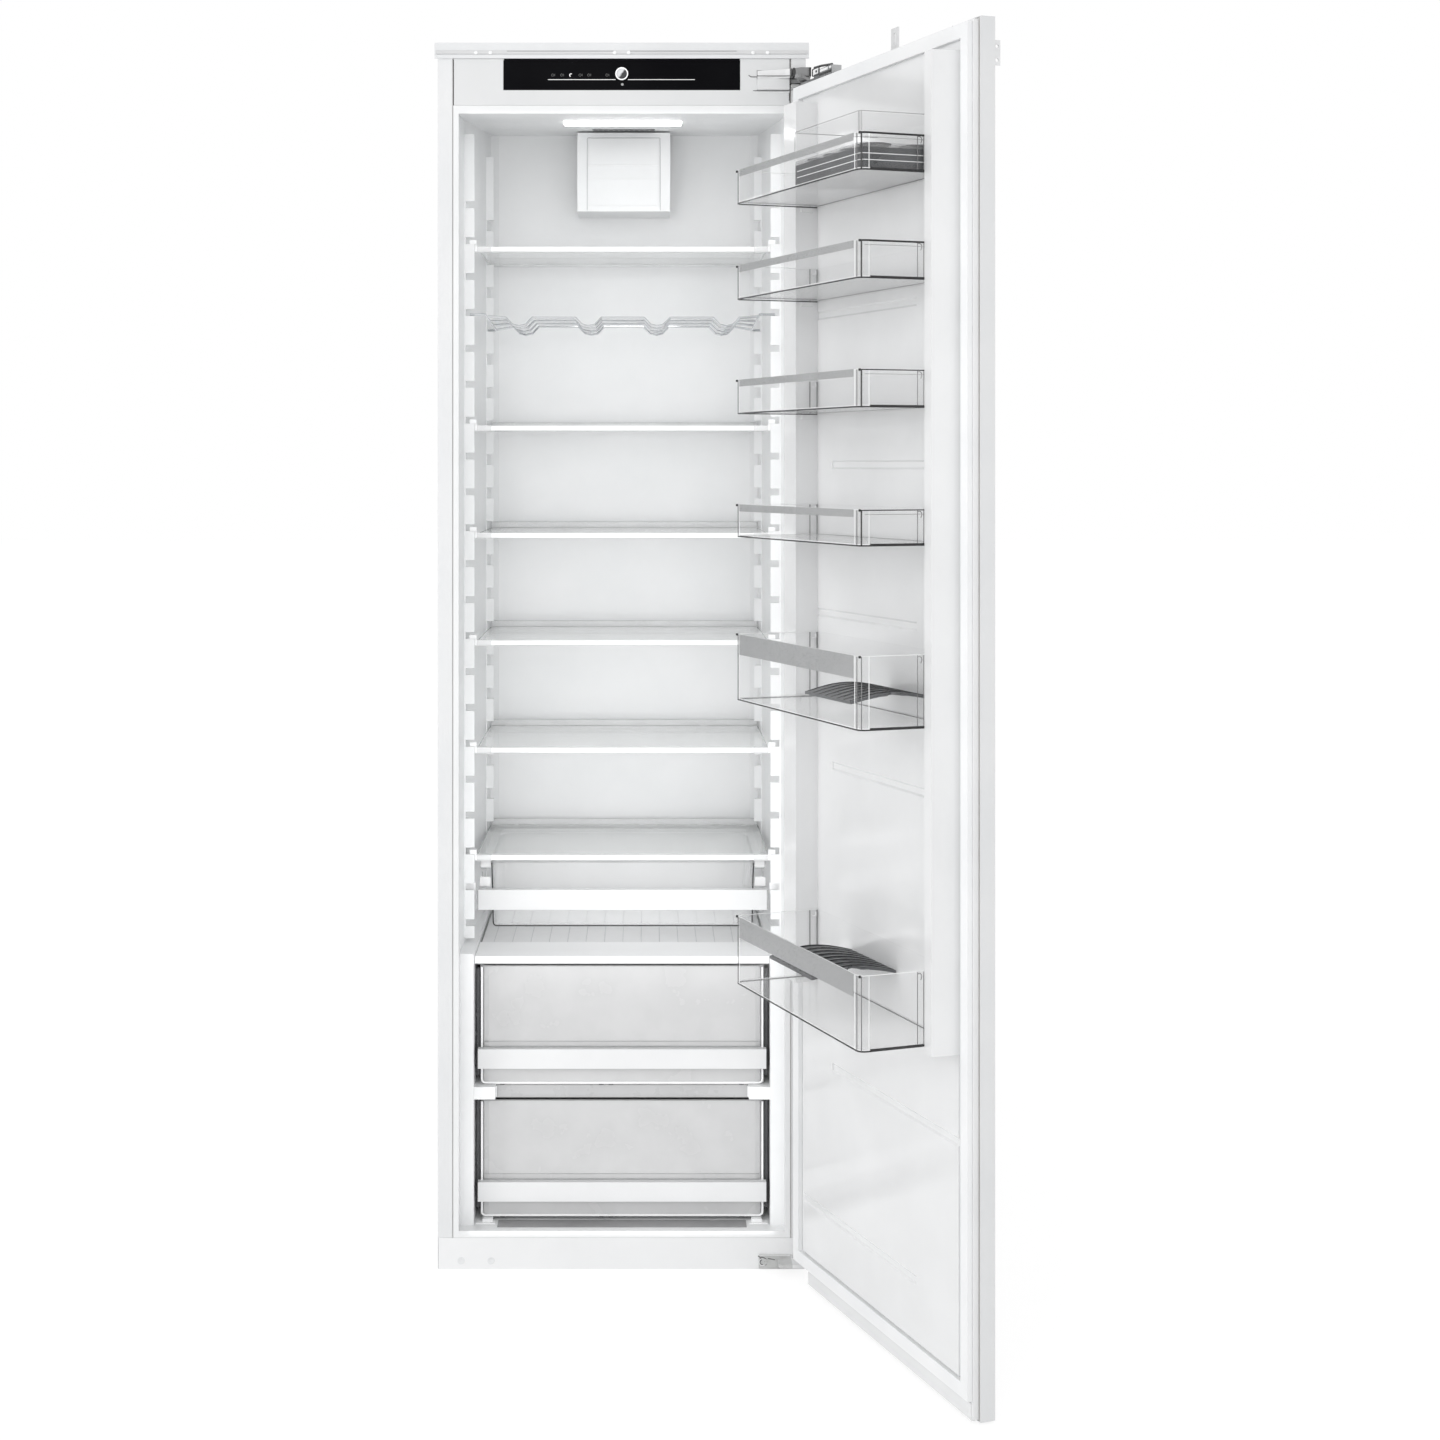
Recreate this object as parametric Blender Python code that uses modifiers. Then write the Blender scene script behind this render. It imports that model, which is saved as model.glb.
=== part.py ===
"""Column refrigerator, built-in larder type, shown with its door open.

Metres, +Z up, front towards -Y. The origin is the centre of the cabinet's base.
The door is modelled closed, in the cabinet's own frame, and turned open about its pivot.
"""

import math

import bmesh
import bpy
from mathutils import Matrix, Vector

# Driving sizes of the cabinet.
CASING_WIDTH = 0.532
CASING_DEPTH = 0.510
CASING_TOP = 1.768
SHEET = 0.001
BASE_SHEET = 0.0015
SKIN = 0.0012
SEAT = 0.0003
OVERLAP = 0.0006
MARGIN = 0.020
HALF = CASING_WIDTH / 2
FRONT = -CASING_DEPTH / 2
REAR = CASING_DEPTH / 2
INSIDE_HALF = HALF - SHEET - SEAT

# Front frame: casing returns, liner flange, plinth and fascia.
RETURN_WIDTH = 0.021
FLANGE_INSET = 0.0225
OPENING_INSET = 0.0315
PLINTH_TOP = 0.045
LIP_HEIGHT = 0.010
TRIM_DROP = 0.019
FASCIA_HEIGHT = 0.067
FLANGE_HEIGHT = 0.012
RETURN_INNER = HALF - RETURN_WIDTH
FLANGE_HALF = HALF - FLANGE_INSET
OPENING_HALF = HALF - OPENING_INSET
OPENING_FLOOR = PLINTH_TOP + LIP_HEIGHT
FASCIA_TOP = CASING_TOP - TRIM_DROP
FASCIA_FOOT = FASCIA_TOP - FASCIA_HEIGHT
OPENING_TOP = FASCIA_FOOT - FLANGE_HEIGHT

# Liner cavity, as depths behind the front plane and half widths.
BACK_THICKNESS = 0.080
CAVITY_DEPTH = CASING_DEPTH - BACK_THICKNESS
MOUTH_DEPTH = 0.020
MOUTH_FLARE = 0.0025
STRAIGHT_DEPTH = 0.120
TAPER_LENGTH = 0.065
TAPER_DEPTH = CAVITY_DEPTH - TAPER_LENGTH
TAPER_NARROWING = 0.015
BACK_NARROWING = 0.019
BACK_CORNER = 0.012
CEILING_RISE = 0.032
FLOOR_DROP = 0.005
FLOOR_DEPTH = 0.014
DRAWER_ZONE_TOP = 0.447
DRAWER_ZONE_INSET = 0.020
DRAWER_ZONE_FRONT = 0.038
HUMP_LENGTH = 0.130
HUMP_DEPTH = CAVITY_DEPTH - HUMP_LENGTH
HUMP_TOP = 0.240
WALL_HALF = OPENING_HALF + MOUTH_FLARE
TAPER_HALF = WALL_HALF - TAPER_NARROWING
BACK_HALF = WALL_HALF - BACK_NARROWING
ZONE_HALF = WALL_HALF - DRAWER_ZONE_INSET
FLOOR_LEVEL = OPENING_FLOOR - FLOOR_DROP
NICHE_WALL = 0.020
NICHE_DEPTH = HUMP_DEPTH + NICHE_WALL
NICHE_FALL = 0.015
NICHE_TOP = HUMP_TOP - NICHE_FALL

# Ladder rails: vertical ribs with one notch at every shelf level.
LOWEST_SHELF_TOP = 0.5754
PITCH_COUNT = 19
HEADROOM = 0.0724
PITCH = (OPENING_TOP - HEADROOM - LOWEST_SHELF_TOP) / PITCH_COUNT
SHELF_STEPS = (0, 3, 6, 9, 12, 17)
NOTCH_STEPS = range(-2, 19)
RAIL_FOOT = 0.453
RAIL_HEAD_GAP = 0.012
FRONT_RAIL_DEPTH = 0.117
FRONT_RAIL_LENGTH = 0.008
FRONT_RAIL_RISE = 0.015
FRONT_NOTCH_FOOT = 0.003
FRONT_NOTCH_HEIGHT = 0.0105
FRONT_NOTCH_DEPTH = 0.013
REAR_RAIL_DEPTH = TAPER_DEPTH
REAR_RAIL_LENGTH = 0.010
REAR_RAIL_RISE = 0.012
REAR_NOTCH_FOOT = -0.0053
REAR_NOTCH_HEIGHT = 0.018
REAR_NOTCH_DEPTH = 0.0105

# Ledges and runners that carry the crisper drawers.
LEDGE_WIDTH = 0.031
LEDGE_INNER = ZONE_HALF - LEDGE_WIDTH
LEDGE_FRONT = 0.045
LEDGE_REAR_GAP = 0.030
LEDGE_REAR = CAVITY_DEPTH - LEDGE_REAR_GAP
LEDGE_DROP = 0.008
LEDGE_RISE = 0.0102
LEDGE_FOOT = HUMP_TOP - LEDGE_DROP
LEDGE_TOP = HUMP_TOP + LEDGE_RISE
RUNNER_GAP = 0.012
RUNNER_WIDTH = 0.015
RUNNER_OUTER = ZONE_HALF - RUNNER_GAP
RUNNER_INNER = RUNNER_OUTER - RUNNER_WIDTH
RUNNER_FRONT = 0.050
RUNNER_REAR_GAP = 0.010
RUNNER_REAR = HUMP_DEPTH - RUNNER_REAR_GAP
RUNNER_TOP = OPENING_FLOOR + SEAT

# Top trim, fascia, display and knob.
TRIM_OVERHANG = 0.0045
TRIM_RISE = 0.004
TRIM_LEG = 0.002
TRIM_LENGTH = 0.030
TRIM_GROOVE = 0.0008
TRIM_GROOVE_FOOT = 0.0055
TRIM_GROOVE_HEIGHT = 0.0014
TRIM_HOLE_RADIUS = 0.0019
TRIM_HOLE_DROP = 0.0145
TRIM_HOLE_INSET = 0.056
TRIM_HOLE_PITCH = 0.021
TRIM_HOLE_MIDDLE = 0.010
FASCIA_SIDE_GAP = 0.0025
FASCIA_HALF = RETURN_INNER - FASCIA_SIDE_GAP
FASCIA_DEPTH = 0.034
FASCIA_WALL = 0.0024
GLASS_INSET = 0.0715
GLASS_HALF = FASCIA_HALF - GLASS_INSET
GLASS_FOOT_RISE = 0.022
GLASS_HEIGHT = 0.0426
GLASS_THICKNESS = 0.0014
KNOB_FROM_TOP = 0.0218
KNOB_RADIUS = 0.0093
KNOB_RIM = 0.0014
KNOB_PROUD = 0.0030
KNOB_DISH = 0.0012
KNOB_STANDOFF = 0.0006
SPINDLE_RADIUS = 0.0030
SPINDLE_LENGTH = 0.0120
SPINDLE_CLEARANCE = 0.0008
KNOB_HEIGHT = FASCIA_TOP - KNOB_FROM_TOP

# Ceiling light and the fan unit on the back wall.
LENS_HALF = 0.0885
LENS_FRONT = 0.141
LENS_LENGTH = 0.030
LENS_THICKNESS = 0.004
FAN_HALF = 0.074
FAN_RISE = 0.022
FAN_HEIGHT = 0.1255
FAN_LENGTH = 0.100
FAN_TOP = OPENING_TOP + FAN_RISE
FAN_FOOT = FAN_TOP - FAN_HEIGHT
FAN_FRONT = CAVITY_DEPTH - FAN_LENGTH
FAN_WALL = 0.002
FAN_VENT_HALF = 0.0475
FAN_VENT_DEPTH = 0.012
FAN_VENT_LENGTH = 0.030
COVER_HALF = 0.0565
COVER_FOOT_RISE = 0.010
COVER_HEIGHT = 0.106
COVER_THICKNESS = 0.002
COVER_STEP = 0.0015
COVER_STEP_FOOT = 0.041
ROTOR_DROP = 0.067
ROTOR_HEIGHT = FAN_TOP - ROTOR_DROP
ROTOR_RADIUS = 0.040
ROTOR_HUB = 0.012
ROTOR_BORE = 0.0025
ROTOR_LENGTH = 0.012
BLADE_COUNT = 5
BLADE_THICKNESS = 0.0016
BLADE_PITCH_DEG = 32
MOTOR_RADIUS = 0.018
MOTOR_LENGTH = 0.038
MOTOR_FRONT = CAVITY_DEPTH - MOTOR_LENGTH
SHAFT_RADIUS = 0.0021
SHAFT_LENGTH = 0.012
BLADE_ROOT = 0.0024
BLADE_CLEARANCE = 0.0024

# Shelves.
SHELF_SIDE_GAP = 0.012
SHELF_HALF = WALL_HALF - SHELF_SIDE_GAP
SHELF_REAR_SIDE_GAP = 0.001
SHELF_REAR_HALF = BACK_HALF - SHELF_REAR_SIDE_GAP
SHELF_TAPER_LENGTH = 0.080
SHELF_TAPER_DEPTH = CAVITY_DEPTH - SHELF_TAPER_LENGTH
SHELF_GLASS_DROP = 0.001
SHELF_GLASS_INSET = 0.0065
SHELF_FRONT = 0.128
SHELF_REAR_GAP = 0.016
SHELF_REAR = CAVITY_DEPTH - SHELF_REAR_GAP
SHELF_GLASS = 0.004
SHELF_TRIM_HEIGHT = 0.0072
SHELF_TRIM_LENGTH = 0.012
REAR_TRIM_RISE = 0.010
REAR_TRIM_LENGTH = 0.006
HOOK_WIDTH = 0.010
HOOK_REACH = 0.004
HOOK_OUTER = SHELF_HALF + HOOK_REACH
HOOK_INNER = HOOK_OUTER - HOOK_WIDTH
HOOK_TOP = 0.0093
HOOK_SEAT = 0.0033
HOOK_TIP_DEPTH = 0.1185
HOOK_BACK = 0.0035

# Wire bottle rack.
RACK_CREST_RISE = 0.0022
RACK_WIRE = 0.002
RACK_DEPTH_SHARES = (0.116, 0.392, 0.676, 0.972)
RACK_TROUGH_SHARES = (-0.762, -0.2525, 0.2525, 0.762)
RACK_WAVE = ((-0.020, 0.0), (-0.010, 0.0105), (0.0, 0.013), (0.010, 0.0105), (0.020, 0.0))
RACK_STEP = 15
RACK_SIDE_GAP = 0.031
RACK_SIDE = WALL_HALF - RACK_SIDE_GAP
RACK_FRONT_HOOK = HOOK_OUTER
RACK_REAR_TIP_GAP = 0.0025
RACK_REAR_HOOK = TAPER_HALF - RACK_REAR_TIP_GAP
RACK_BEND = 0.0045
RACK_FRONT_INSET = 0.004
RACK_REAR_INSET = 0.006
RACK_FRONT = FRONT_RAIL_DEPTH + RACK_FRONT_INSET
RACK_REAR = REAR_RAIL_DEPTH + RACK_REAR_INSET

# Hanger frame and shallow drawer under the lowest shelf.
HANGER_INSET = 0.0158
HANGER_WIDTH = 0.0107
HANGER_OUTER = SHELF_HALF - HANGER_INSET
HANGER_INNER = HANGER_OUTER - HANGER_WIDTH
HANGER_HEIGHT = 0.014
HANGER_LEDGE = 0.0030
HANGER_WALL = 0.0020
HANGER_FRONT = 0.1412
HANGER_REAR_GAP = 0.006
HANGER_REAR = SHELF_REAR - HANGER_REAR_GAP
HANGER_BAR = 0.006
TRAY_SIDE_GAP = 0.002
TRAY_HALF = HANGER_INNER - TRAY_SIDE_GAP
TRAY_FRONT = 0.138
TRAY_REAR_GAP = 0.016
TRAY_REAR = SHELF_REAR - TRAY_REAR_GAP
TRAY_FOOT = 0.468
TRAY_TOP = 0.5635
TRAY_WALL = 0.0022
TRAY_CORNER = 0.016
TRAY_RIM = 0.0090
TRAY_RIM_HEIGHT = 0.0025
TRAY_HANDLE_INSET = 0.008
TRAY_HANDLE_HALF = SHELF_HALF - TRAY_HANDLE_INSET
TRAY_HANDLE_FOOT = 0.494
TRAY_HANDLE_HEIGHT = 0.030
TRAY_HANDLE_DEPTH = 0.014

# Crisper cover and drawers.
COVER_SIDE_GAP = 0.0005
COVER_TRIM_HALF = ZONE_HALF - COVER_SIDE_GAP
COVER_TRIM_FRONT = 0.058
COVER_TRIM_LENGTH = 0.022
COVER_TRIM_FOOT = 0.428
COVER_TRIM_HEIGHT = 0.011
COVER_REAR_GAP = 0.015
COVER_GLASS_REAR = CAVITY_DEPTH - COVER_REAR_GAP
COVER_GLASS = 0.004
COVER_GLASS_RISE = 0.003
CRISPER_SIDE_GAP = 0.007
CRISPER_HALF = ZONE_HALF - CRISPER_SIDE_GAP
CRISPER_FRONT = 0.060
CRISPER_WALL = 0.0026
CRISPER_CORNER = 0.014
UPPER_FOOT = LEDGE_TOP + SEAT
UPPER_HEIGHT = 0.1745
UPPER_REAR_GAP = 0.035
UPPER_REAR = CAVITY_DEPTH - UPPER_REAR_GAP
LOWER_FOOT = RUNNER_TOP + SEAT
LOWER_HEIGHT = 0.1714
LOWER_REAR_GAP = 0.007
LOWER_REAR = HUMP_DEPTH - LOWER_REAR_GAP
HANDLE_RISE = 0.0260
HANDLE_OVERREACH = 0.0015
HANDLE_HALF = CRISPER_HALF + HANDLE_OVERREACH
HANDLE_HEIGHT = 0.0285
HANDLE_DEPTH = 0.013
HANDLE_WALL = 0.0028
HANDLE_END = 0.004

# Cooling machine in the niche.
POT_X = -0.110
POT_FROM_REAR = 0.092
POT_DEPTH = CASING_DEPTH - POT_FROM_REAR
POT_RADIUS = 0.068
POT_FOOT = 0.016
POT_HEIGHT = 0.150
POT_SHOULDER = 0.030
POT_CROWN_SHARES = ((0.55, 0.12), (0.88, 0.55), (1.0, 1.3))
POT_BASE_SHARE = 0.8
POT_SEAM = 0.003
POT_SEAM_HEIGHT = 0.006
POT_PLATE_HALF = 0.080
POT_PLATE = 0.003
GROMMET_RADIUS = 0.011
GROMMET_SPREAD = 0.062
STUB_RADIUS = 0.004
STUB_LENGTH = 0.034
STUB_RISE = 0.012
STUB_TURNS_DEG = (-20, 15, 50)
DRIP_HALF = 0.072
DRIP_HEIGHT = 0.030
DRIP_WALL = 0.002
DRIP_CORNER = 0.010
COIL_LEFT = 0.010
COIL_SIDE_GAP = 0.041
COIL_RIGHT = HALF - COIL_SIDE_GAP
COIL_LAYER_COUNT = 3
COIL_FRONT_GAP = 0.030
COIL_LAYER_SPACING = 0.045
COIL_FOOT = 0.035
COIL_PASSES = 5
COIL_SPACING = 0.030
COIL_RADIUS = 0.0032
COIL_FRAME = 0.0015
COIL_FRAME_WIDTH = 0.016
COIL_FRAME_INSET = 0.040

# Hinges.  The pivot stands just outside the door's hinge edge.
PIVOT_INSET = 0.0025
PIVOT_X = HALF - PIVOT_INSET
PIVOT_FORWARD = 0.0224
PIVOT_Y = FRONT - PIVOT_FORWARD
DOOR_OPEN_DEG = 110.3
PIN_RADIUS = 0.0030
EYE_RADIUS = 0.0075
EYE_CLEARANCE = 0.0003
DOOR_TOP_DROP = 0.043
DOOR_TOP = FASCIA_TOP - DOOR_TOP_DROP
UPPER_PLATE_GAP = 0.0003
UPPER_PLATE = 0.0030
UPPER_PLATE_REACH = 0.105
UPPER_FRAME_START = 0.046
UPPER_FRAME_RISE = 0.0125
UPPER_FRAME_WALL = 0.0022
LINK_RISE = 0.0058
LINK_FOOT = DOOR_TOP + LINK_RISE
LINK_HEIGHT = 0.0045
LINK_HALF_WIDTH = 0.0055
LINK_LENGTH = 0.034
LINK_CLOSED_DEG = 195
ARM_RISE = 0.0130
ARM_FOOT = DOOR_TOP + ARM_RISE
ARM_HEIGHT = 0.0125
ARM_LENGTH = 0.0475
ARM_INNER = FLANGE_HALF - ARM_LENGTH
ARM_DEPTH = 0.024
ARM_FORWARD = 0.0305
ARM_PAST_PIVOT = 0.008
ARM_OUTER = PIVOT_X + ARM_PAST_PIVOT
ARM_NOSE = 0.014
ARM_NECK_INSET = 0.0075
ARM_NECK = FLANGE_HALF - ARM_NECK_INSET
ARM_NECK_FORWARD = 0.015
ARM_SHY = 0.0008
POCKET_GAP = 0.0008
PIN_STANDOFF = 0.0005
LOWER_PLATE_FOOT = 0.0020
LOWER_PLATE_TOP = 0.0215
LOWER_PLATE_INSET = 0.020
LOWER_PLATE_LENGTH = 0.048
LOWER_PLATE_OUTER = HALF - LOWER_PLATE_INSET
LOWER_PLATE_INNER = LOWER_PLATE_OUTER - LOWER_PLATE_LENGTH
LOWER_PLATE = 0.0030
LOWER_ARM_FOOT = 0.0120
LOWER_ARM_HEIGHT = 0.0050
LOWER_ARM_HALF_WIDTH = 0.0085
LOWER_ARM_LENGTH = 0.021
LOWER_ARM_INNER = LOWER_PLATE_OUTER - LOWER_ARM_LENGTH
LOWER_ARM_CORNER = 0.0060
LOWER_PIN_RISE = 0.0095
LOWER_SCREW_RADIUS = 0.0045
LOWER_SCREW_PROUD = 0.0016
LOWER_SCREW_INSET = 0.008
LOWER_SCREW_X = LOWER_PLATE_INNER + LOWER_SCREW_INSET
SCREW_SLOT = 0.0010

# Door, in its closed position.
DOOR_SIDE_GAP = 0.002
DOOR_HALF = HALF - DOOR_SIDE_GAP
DOOR_FOOT = 0.003
PAN_FRONT = 0.0345
PAN_BACK = 0.0145
PAN_SHEET = 0.001
BORDER_INSET = 0.0043
BORDER_FOOT = 0.0056
BORDER_TOP_DROP = 0.0034
BORDER_FACE = 0.007
PANEL_FACE = 0.004
NOTCH_WIDTH = 0.049
NOTCH_TOP = 0.027
TAB_THICKNESS = 0.003
TAB_WIDTH = 0.016
TAB_NECK = 0.036
GASKET_FACE = 0.0005
GASKET_INSET = 0.007
GASKET_WIDTH = 0.018
GASKET_FOOT = 0.0275
GASKET_TOP_DROP = 0.006
PANEL_INSET = 0.036
PANEL_FOOT = 0.048
DIKE_FOOT_FREE = 0.0318
DIKE_CREST_OUT_FREE = 0.0365
DIKE_CREST_IN_FREE = 0.0550
DIKE_CREST_FREE = 0.033
DIKE_FOOT_HINGE = 0.0340
DIKE_CREST_OUT_HINGE = 0.0410
DIKE_CREST_IN_HINGE = 0.0820
DIKE_CREST_HINGE = 0.029
DIKE_FOOT_LEVEL = 0.441
DIKE_TOP_GAP = 0.0015
DIKE_TOP_LEVEL = OPENING_TOP - DIKE_TOP_GAP
GROOVE_HALF_MOUTH = 0.006
GROOVE_HALF_BED = 0.0035
GROOVE_SINK = 0.002
GROOVE_START = 0.1335
GROOVE_END = 0.117
GROOVE_LEVEL_SHARES = ((0.075, 1), (0.1995, -1), (0.448, -1), (0.573, 1), (0.696, -1), (0.8205, 1))
BIN_FREE_GAP = 0.0010
BIN_HINGE_GAP = 0.0018
BIN_REAR = 0.0037
BIN_FRONT = 0.121
BIN_WALL = 0.0022
BIN_CORNER = 0.011
BIN_STRIP = 0.0008
BIN_STRIP_INSET = 0.015
BIN_LEVEL_SHARES = (0.8794, 0.7723, 0.6444, 0.5067, 0.3242, 0.0065)
BIN_SIZES = (
    (0.0465, 0.0095),
    (0.0470, 0.0095),
    (0.0470, 0.0095),
    (0.0450, 0.0095),
    (0.0910, 0.0280),
    (0.0930, 0.0280),
)
LUG_RISE = 0.0040
LUG_DROP = 0.0060
LUG_START = 0.004
LUG_DEPTH = 0.018
EGG_LENGTH = 0.193
EGG_WALL_GAP = 0.0010
EGG_DECK = 0.0020
EGG_DECK_DROP = 0.0120
EGG_HOLE_RADIUS = 0.0200
EGG_COLUMNS = 4
EGG_ROWS = 2
EGG_LID_RISE = 0.0256
EGG_LID_WALL = 0.0020
INSERT_WALL = 0.0035
INSERT_SLOT_COUNT = 7
INSERT_SLOT = 0.0035
INSERT_SLOT_END = 0.009
INSERT_DOME = 0.009
INSERT_ARC_COUNT = 6
INSERT_PLACES = (
    (4, 0.030, 0.135, 0.033),
    (5, 0.143, 0.135, 0.060),
)
BRACKET_HALF = 0.010
BRACKET_SHEET = 0.0020
BRACKET_FOOT_LENGTH = 0.014
BRACKET_SLOT_HALF = 0.0022
BRACKET_SLOT_FOOT = 0.012
BRACKET_SLOT_LENGTH = 0.016
BRACKET_HEIGHT = 0.035
SIDE_BRACKET_DROP = 0.058
SIDE_BRACKET_HEIGHT = 0.0305
SIDE_BRACKET_FOOT = DOOR_TOP - SIDE_BRACKET_DROP
SIDE_BRACKET_PROUD = 0.009
SIDE_BRACKET_SHEET = 0.0016
SIDE_BRACKET_WIDTH = 0.014
SIDE_BRACKET_INSET = 0.004
SIDE_HOLE_RADIUS = 0.00225
SIDE_HOLE_RISE = 0.006
SIDE_HOLE_PITCH = 0.017


def fresh_collection(name, hidden):
    made = bpy.data.collections.new(name)
    bpy.context.scene.collection.children.link(made)
    made.hide_render = hidden
    return made


def finish(name, colour, roughness, metallic, alpha=1.0, clear=0.0):
    """A Principled material."""
    made = bpy.data.materials.new(name)
    made.use_nodes = True
    shader = made.node_tree.nodes["Principled BSDF"]
    shader.inputs["Base Color"].default_value = (*colour, 1.0)
    shader.inputs["Roughness"].default_value = roughness
    shader.inputs["Metallic"].default_value = metallic
    shader.inputs["Alpha"].default_value = alpha
    shader.inputs["Transmission Weight"].default_value = clear
    made.diffuse_color = (*colour, 1.0)
    made.roughness = roughness
    made.metallic = metallic
    return made


def add_object(name, mesh, paint=None):
    """Puts a mesh into the scene: a part when it has a finish, else a cutter."""
    made = bpy.data.objects.new(name, mesh)
    if paint is None:
        CUTTERS.objects.link(made)
        made.hide_render = True
        made.display_type = "WIRE"
    else:
        PARTS.objects.link(made)
        mesh.materials.clear()
        mesh.materials.append(paint)
    return made


def box(name, low, high, paint=None):
    """A box between two corners."""
    form = bmesh.new()
    bmesh.ops.create_cube(form, size=1)
    size = Vector(high) - Vector(low)
    middle = (Vector(high) + Vector(low)) / 2
    bmesh.ops.scale(form, vec=size, verts=form.verts)
    bmesh.ops.translate(form, vec=middle, verts=form.verts)
    mesh = bpy.data.meshes.new(name)
    form.to_mesh(mesh)
    form.free()
    return add_object(name, mesh, paint)


def curve_mesh(name, data):
    """The mesh of a curve, closed and with its faces outward."""
    source = bpy.data.objects.new(name, data)
    PARTS.objects.link(source)
    bpy.context.view_layer.update()
    mesh = bpy.data.meshes.new_from_object(source)
    bpy.data.objects.remove(source)
    bpy.data.curves.remove(data)
    form = bmesh.new()
    form.from_mesh(mesh)
    bmesh.ops.remove_doubles(form, verts=form.verts, dist=MERGE)
    bmesh.ops.recalc_face_normals(form, faces=form.faces)
    form.to_mesh(mesh)
    form.free()
    return mesh


def prism(name, outlines, axis, start, end, paint=None):
    """Flat outlines (the later ones are holes) drawn out along one axis from start to end."""
    data = bpy.data.curves.new(name, "CURVE")
    data.dimensions = "2D"
    data.fill_mode = "BOTH"
    data.extrude = abs(end - start) / 2
    for outline in outlines:
        spline = data.splines.new("POLY")
        spline.points.add(len(outline) - 1)
        for point, (across, up) in zip(spline.points, outline):
            point.co = (across, up, 0, 1)
        spline.use_cyclic_u = True
    mesh = curve_mesh(name, data)
    turn = {
        "X": ((0, 0, 1), (1, 0, 0), (0, 1, 0)),
        "Y": ((1, 0, 0), (0, 0, -1), (0, 1, 0)),
        "Z": ((1, 0, 0), (0, 1, 0), (0, 0, 1)),
    }[axis]
    mesh.transform(Matrix(turn).to_4x4())
    middle = (start + end) / 2
    shift = Vector([middle if letter == axis else 0 for letter in "XYZ"])
    mesh.transform(Matrix.Translation(shift))
    return add_object(name, mesh, paint)


def wire(name, points, radius, paint=None, closed=False):
    """A round wire through the points."""
    data = bpy.data.curves.new(name, "CURVE")
    data.dimensions = "3D"
    data.bevel_depth = radius
    data.bevel_resolution = WIRE_ROUNDING_STEPS
    data.use_fill_caps = not closed
    spline = data.splines.new("POLY")
    spline.points.add(len(points) - 1)
    for point, place in zip(spline.points, points):
        point.co = (*place, 1)
    spline.use_cyclic_u = closed
    made = add_object(name, curve_mesh(name, data), paint)
    made.data.shade_smooth()
    return made


def turned(name, profile, axis, centre, paint=None, steps=20):
    """A round piece: the profile, (radius, height) from top to bottom, turned about its axis."""
    mesh = bpy.data.meshes.new(name)
    points = [(radius, 0, height) for radius, height in profile]
    mesh.from_pydata(points, [(at, at + 1) for at in range(len(points) - 1)], [])
    source = bpy.data.objects.new(name, mesh)
    PARTS.objects.link(source)
    screw = source.modifiers.new("Turn", "SCREW")
    screw.steps = steps
    screw.render_steps = steps
    screw.use_merge_vertices = True
    screw.merge_threshold = MERGE
    bpy.context.view_layer.update()
    graph = bpy.context.evaluated_depsgraph_get()
    made = bpy.data.meshes.new_from_object(source.evaluated_get(graph))
    bpy.data.objects.remove(source)
    form = bmesh.new()
    form.from_mesh(made)
    bmesh.ops.remove_doubles(form, verts=form.verts, dist=MERGE)
    bmesh.ops.dissolve_degenerate(form, edges=form.edges, dist=MERGE)
    bmesh.ops.recalc_face_normals(form, faces=form.faces)
    form.to_mesh(made)
    form.free()
    turn = {"Z": Matrix.Identity(4), "-Y": Matrix.Rotation(math.pi / 2, 4, "X")}[axis]
    made.transform(Matrix.Translation(Vector(centre)) @ turn)
    result = add_object(name, made, paint)
    made.shade_smooth()
    return result


def combine(target, tools, operation, solver="EXACT"):
    """Joins tools to the target or cuts them from it, and keeps the result as the target's mesh."""
    for tool in tools:
        step = target.modifiers.new(tool.name, "BOOLEAN")
        step.operation = operation
        step.solver = solver
        step.object = tool
    bpy.context.view_layer.update()
    graph = bpy.context.evaluated_depsgraph_get()
    mesh = bpy.data.meshes.new_from_object(target.evaluated_get(graph))
    target.modifiers.clear()
    target.data = mesh
    form = bmesh.new()
    form.from_mesh(mesh)
    bmesh.ops.remove_doubles(form, verts=form.verts, dist=FINE_MERGE)
    if operation != "UNION":
        bmesh.ops.dissolve_limit(
            form, angle_limit=FLATNESS, verts=form.verts, edges=form.edges
        )
    form.to_mesh(mesh)
    form.free()
    if operation == "UNION":
        for tool in tools:
            bpy.data.objects.remove(tool)
    return target


def join(target, *tools):
    return combine(target, tools, "UNION")


def cut(target, *tools):
    return combine(target, tools, "DIFFERENCE")


def meet(target, *tools):
    return combine(target, tools, "INTERSECT")


def rounded(x0, x1, y0, y1, radii, parts=3):
    """A rectangle with rounded corners; radii run from (x0, y0) counter-clockwise."""
    corners = ((x0, y0, 180), (x1, y0, 270), (x1, y1, 0), (x0, y1, 90))
    outline = []
    for (x, y, start), radius in zip(corners, radii):
        if radius == 0:
            outline.append((x, y))
            continue
        centre_x = x + radius if x == x0 else x - radius
        centre_y = y + radius if y == y0 else y - radius
        for part in range(parts + 1):
            angle = math.radians(start + 90 * part / parts)
            outline.append(
                (centre_x + radius * math.cos(angle), centre_y + radius * math.sin(angle))
            )
    return outline


def circle(x, y, radius, parts=12):
    step = 2 * math.pi / parts
    return [
        (x + radius * math.cos(step * part), y + radius * math.sin(step * part))
        for part in range(parts)
    ]


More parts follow.
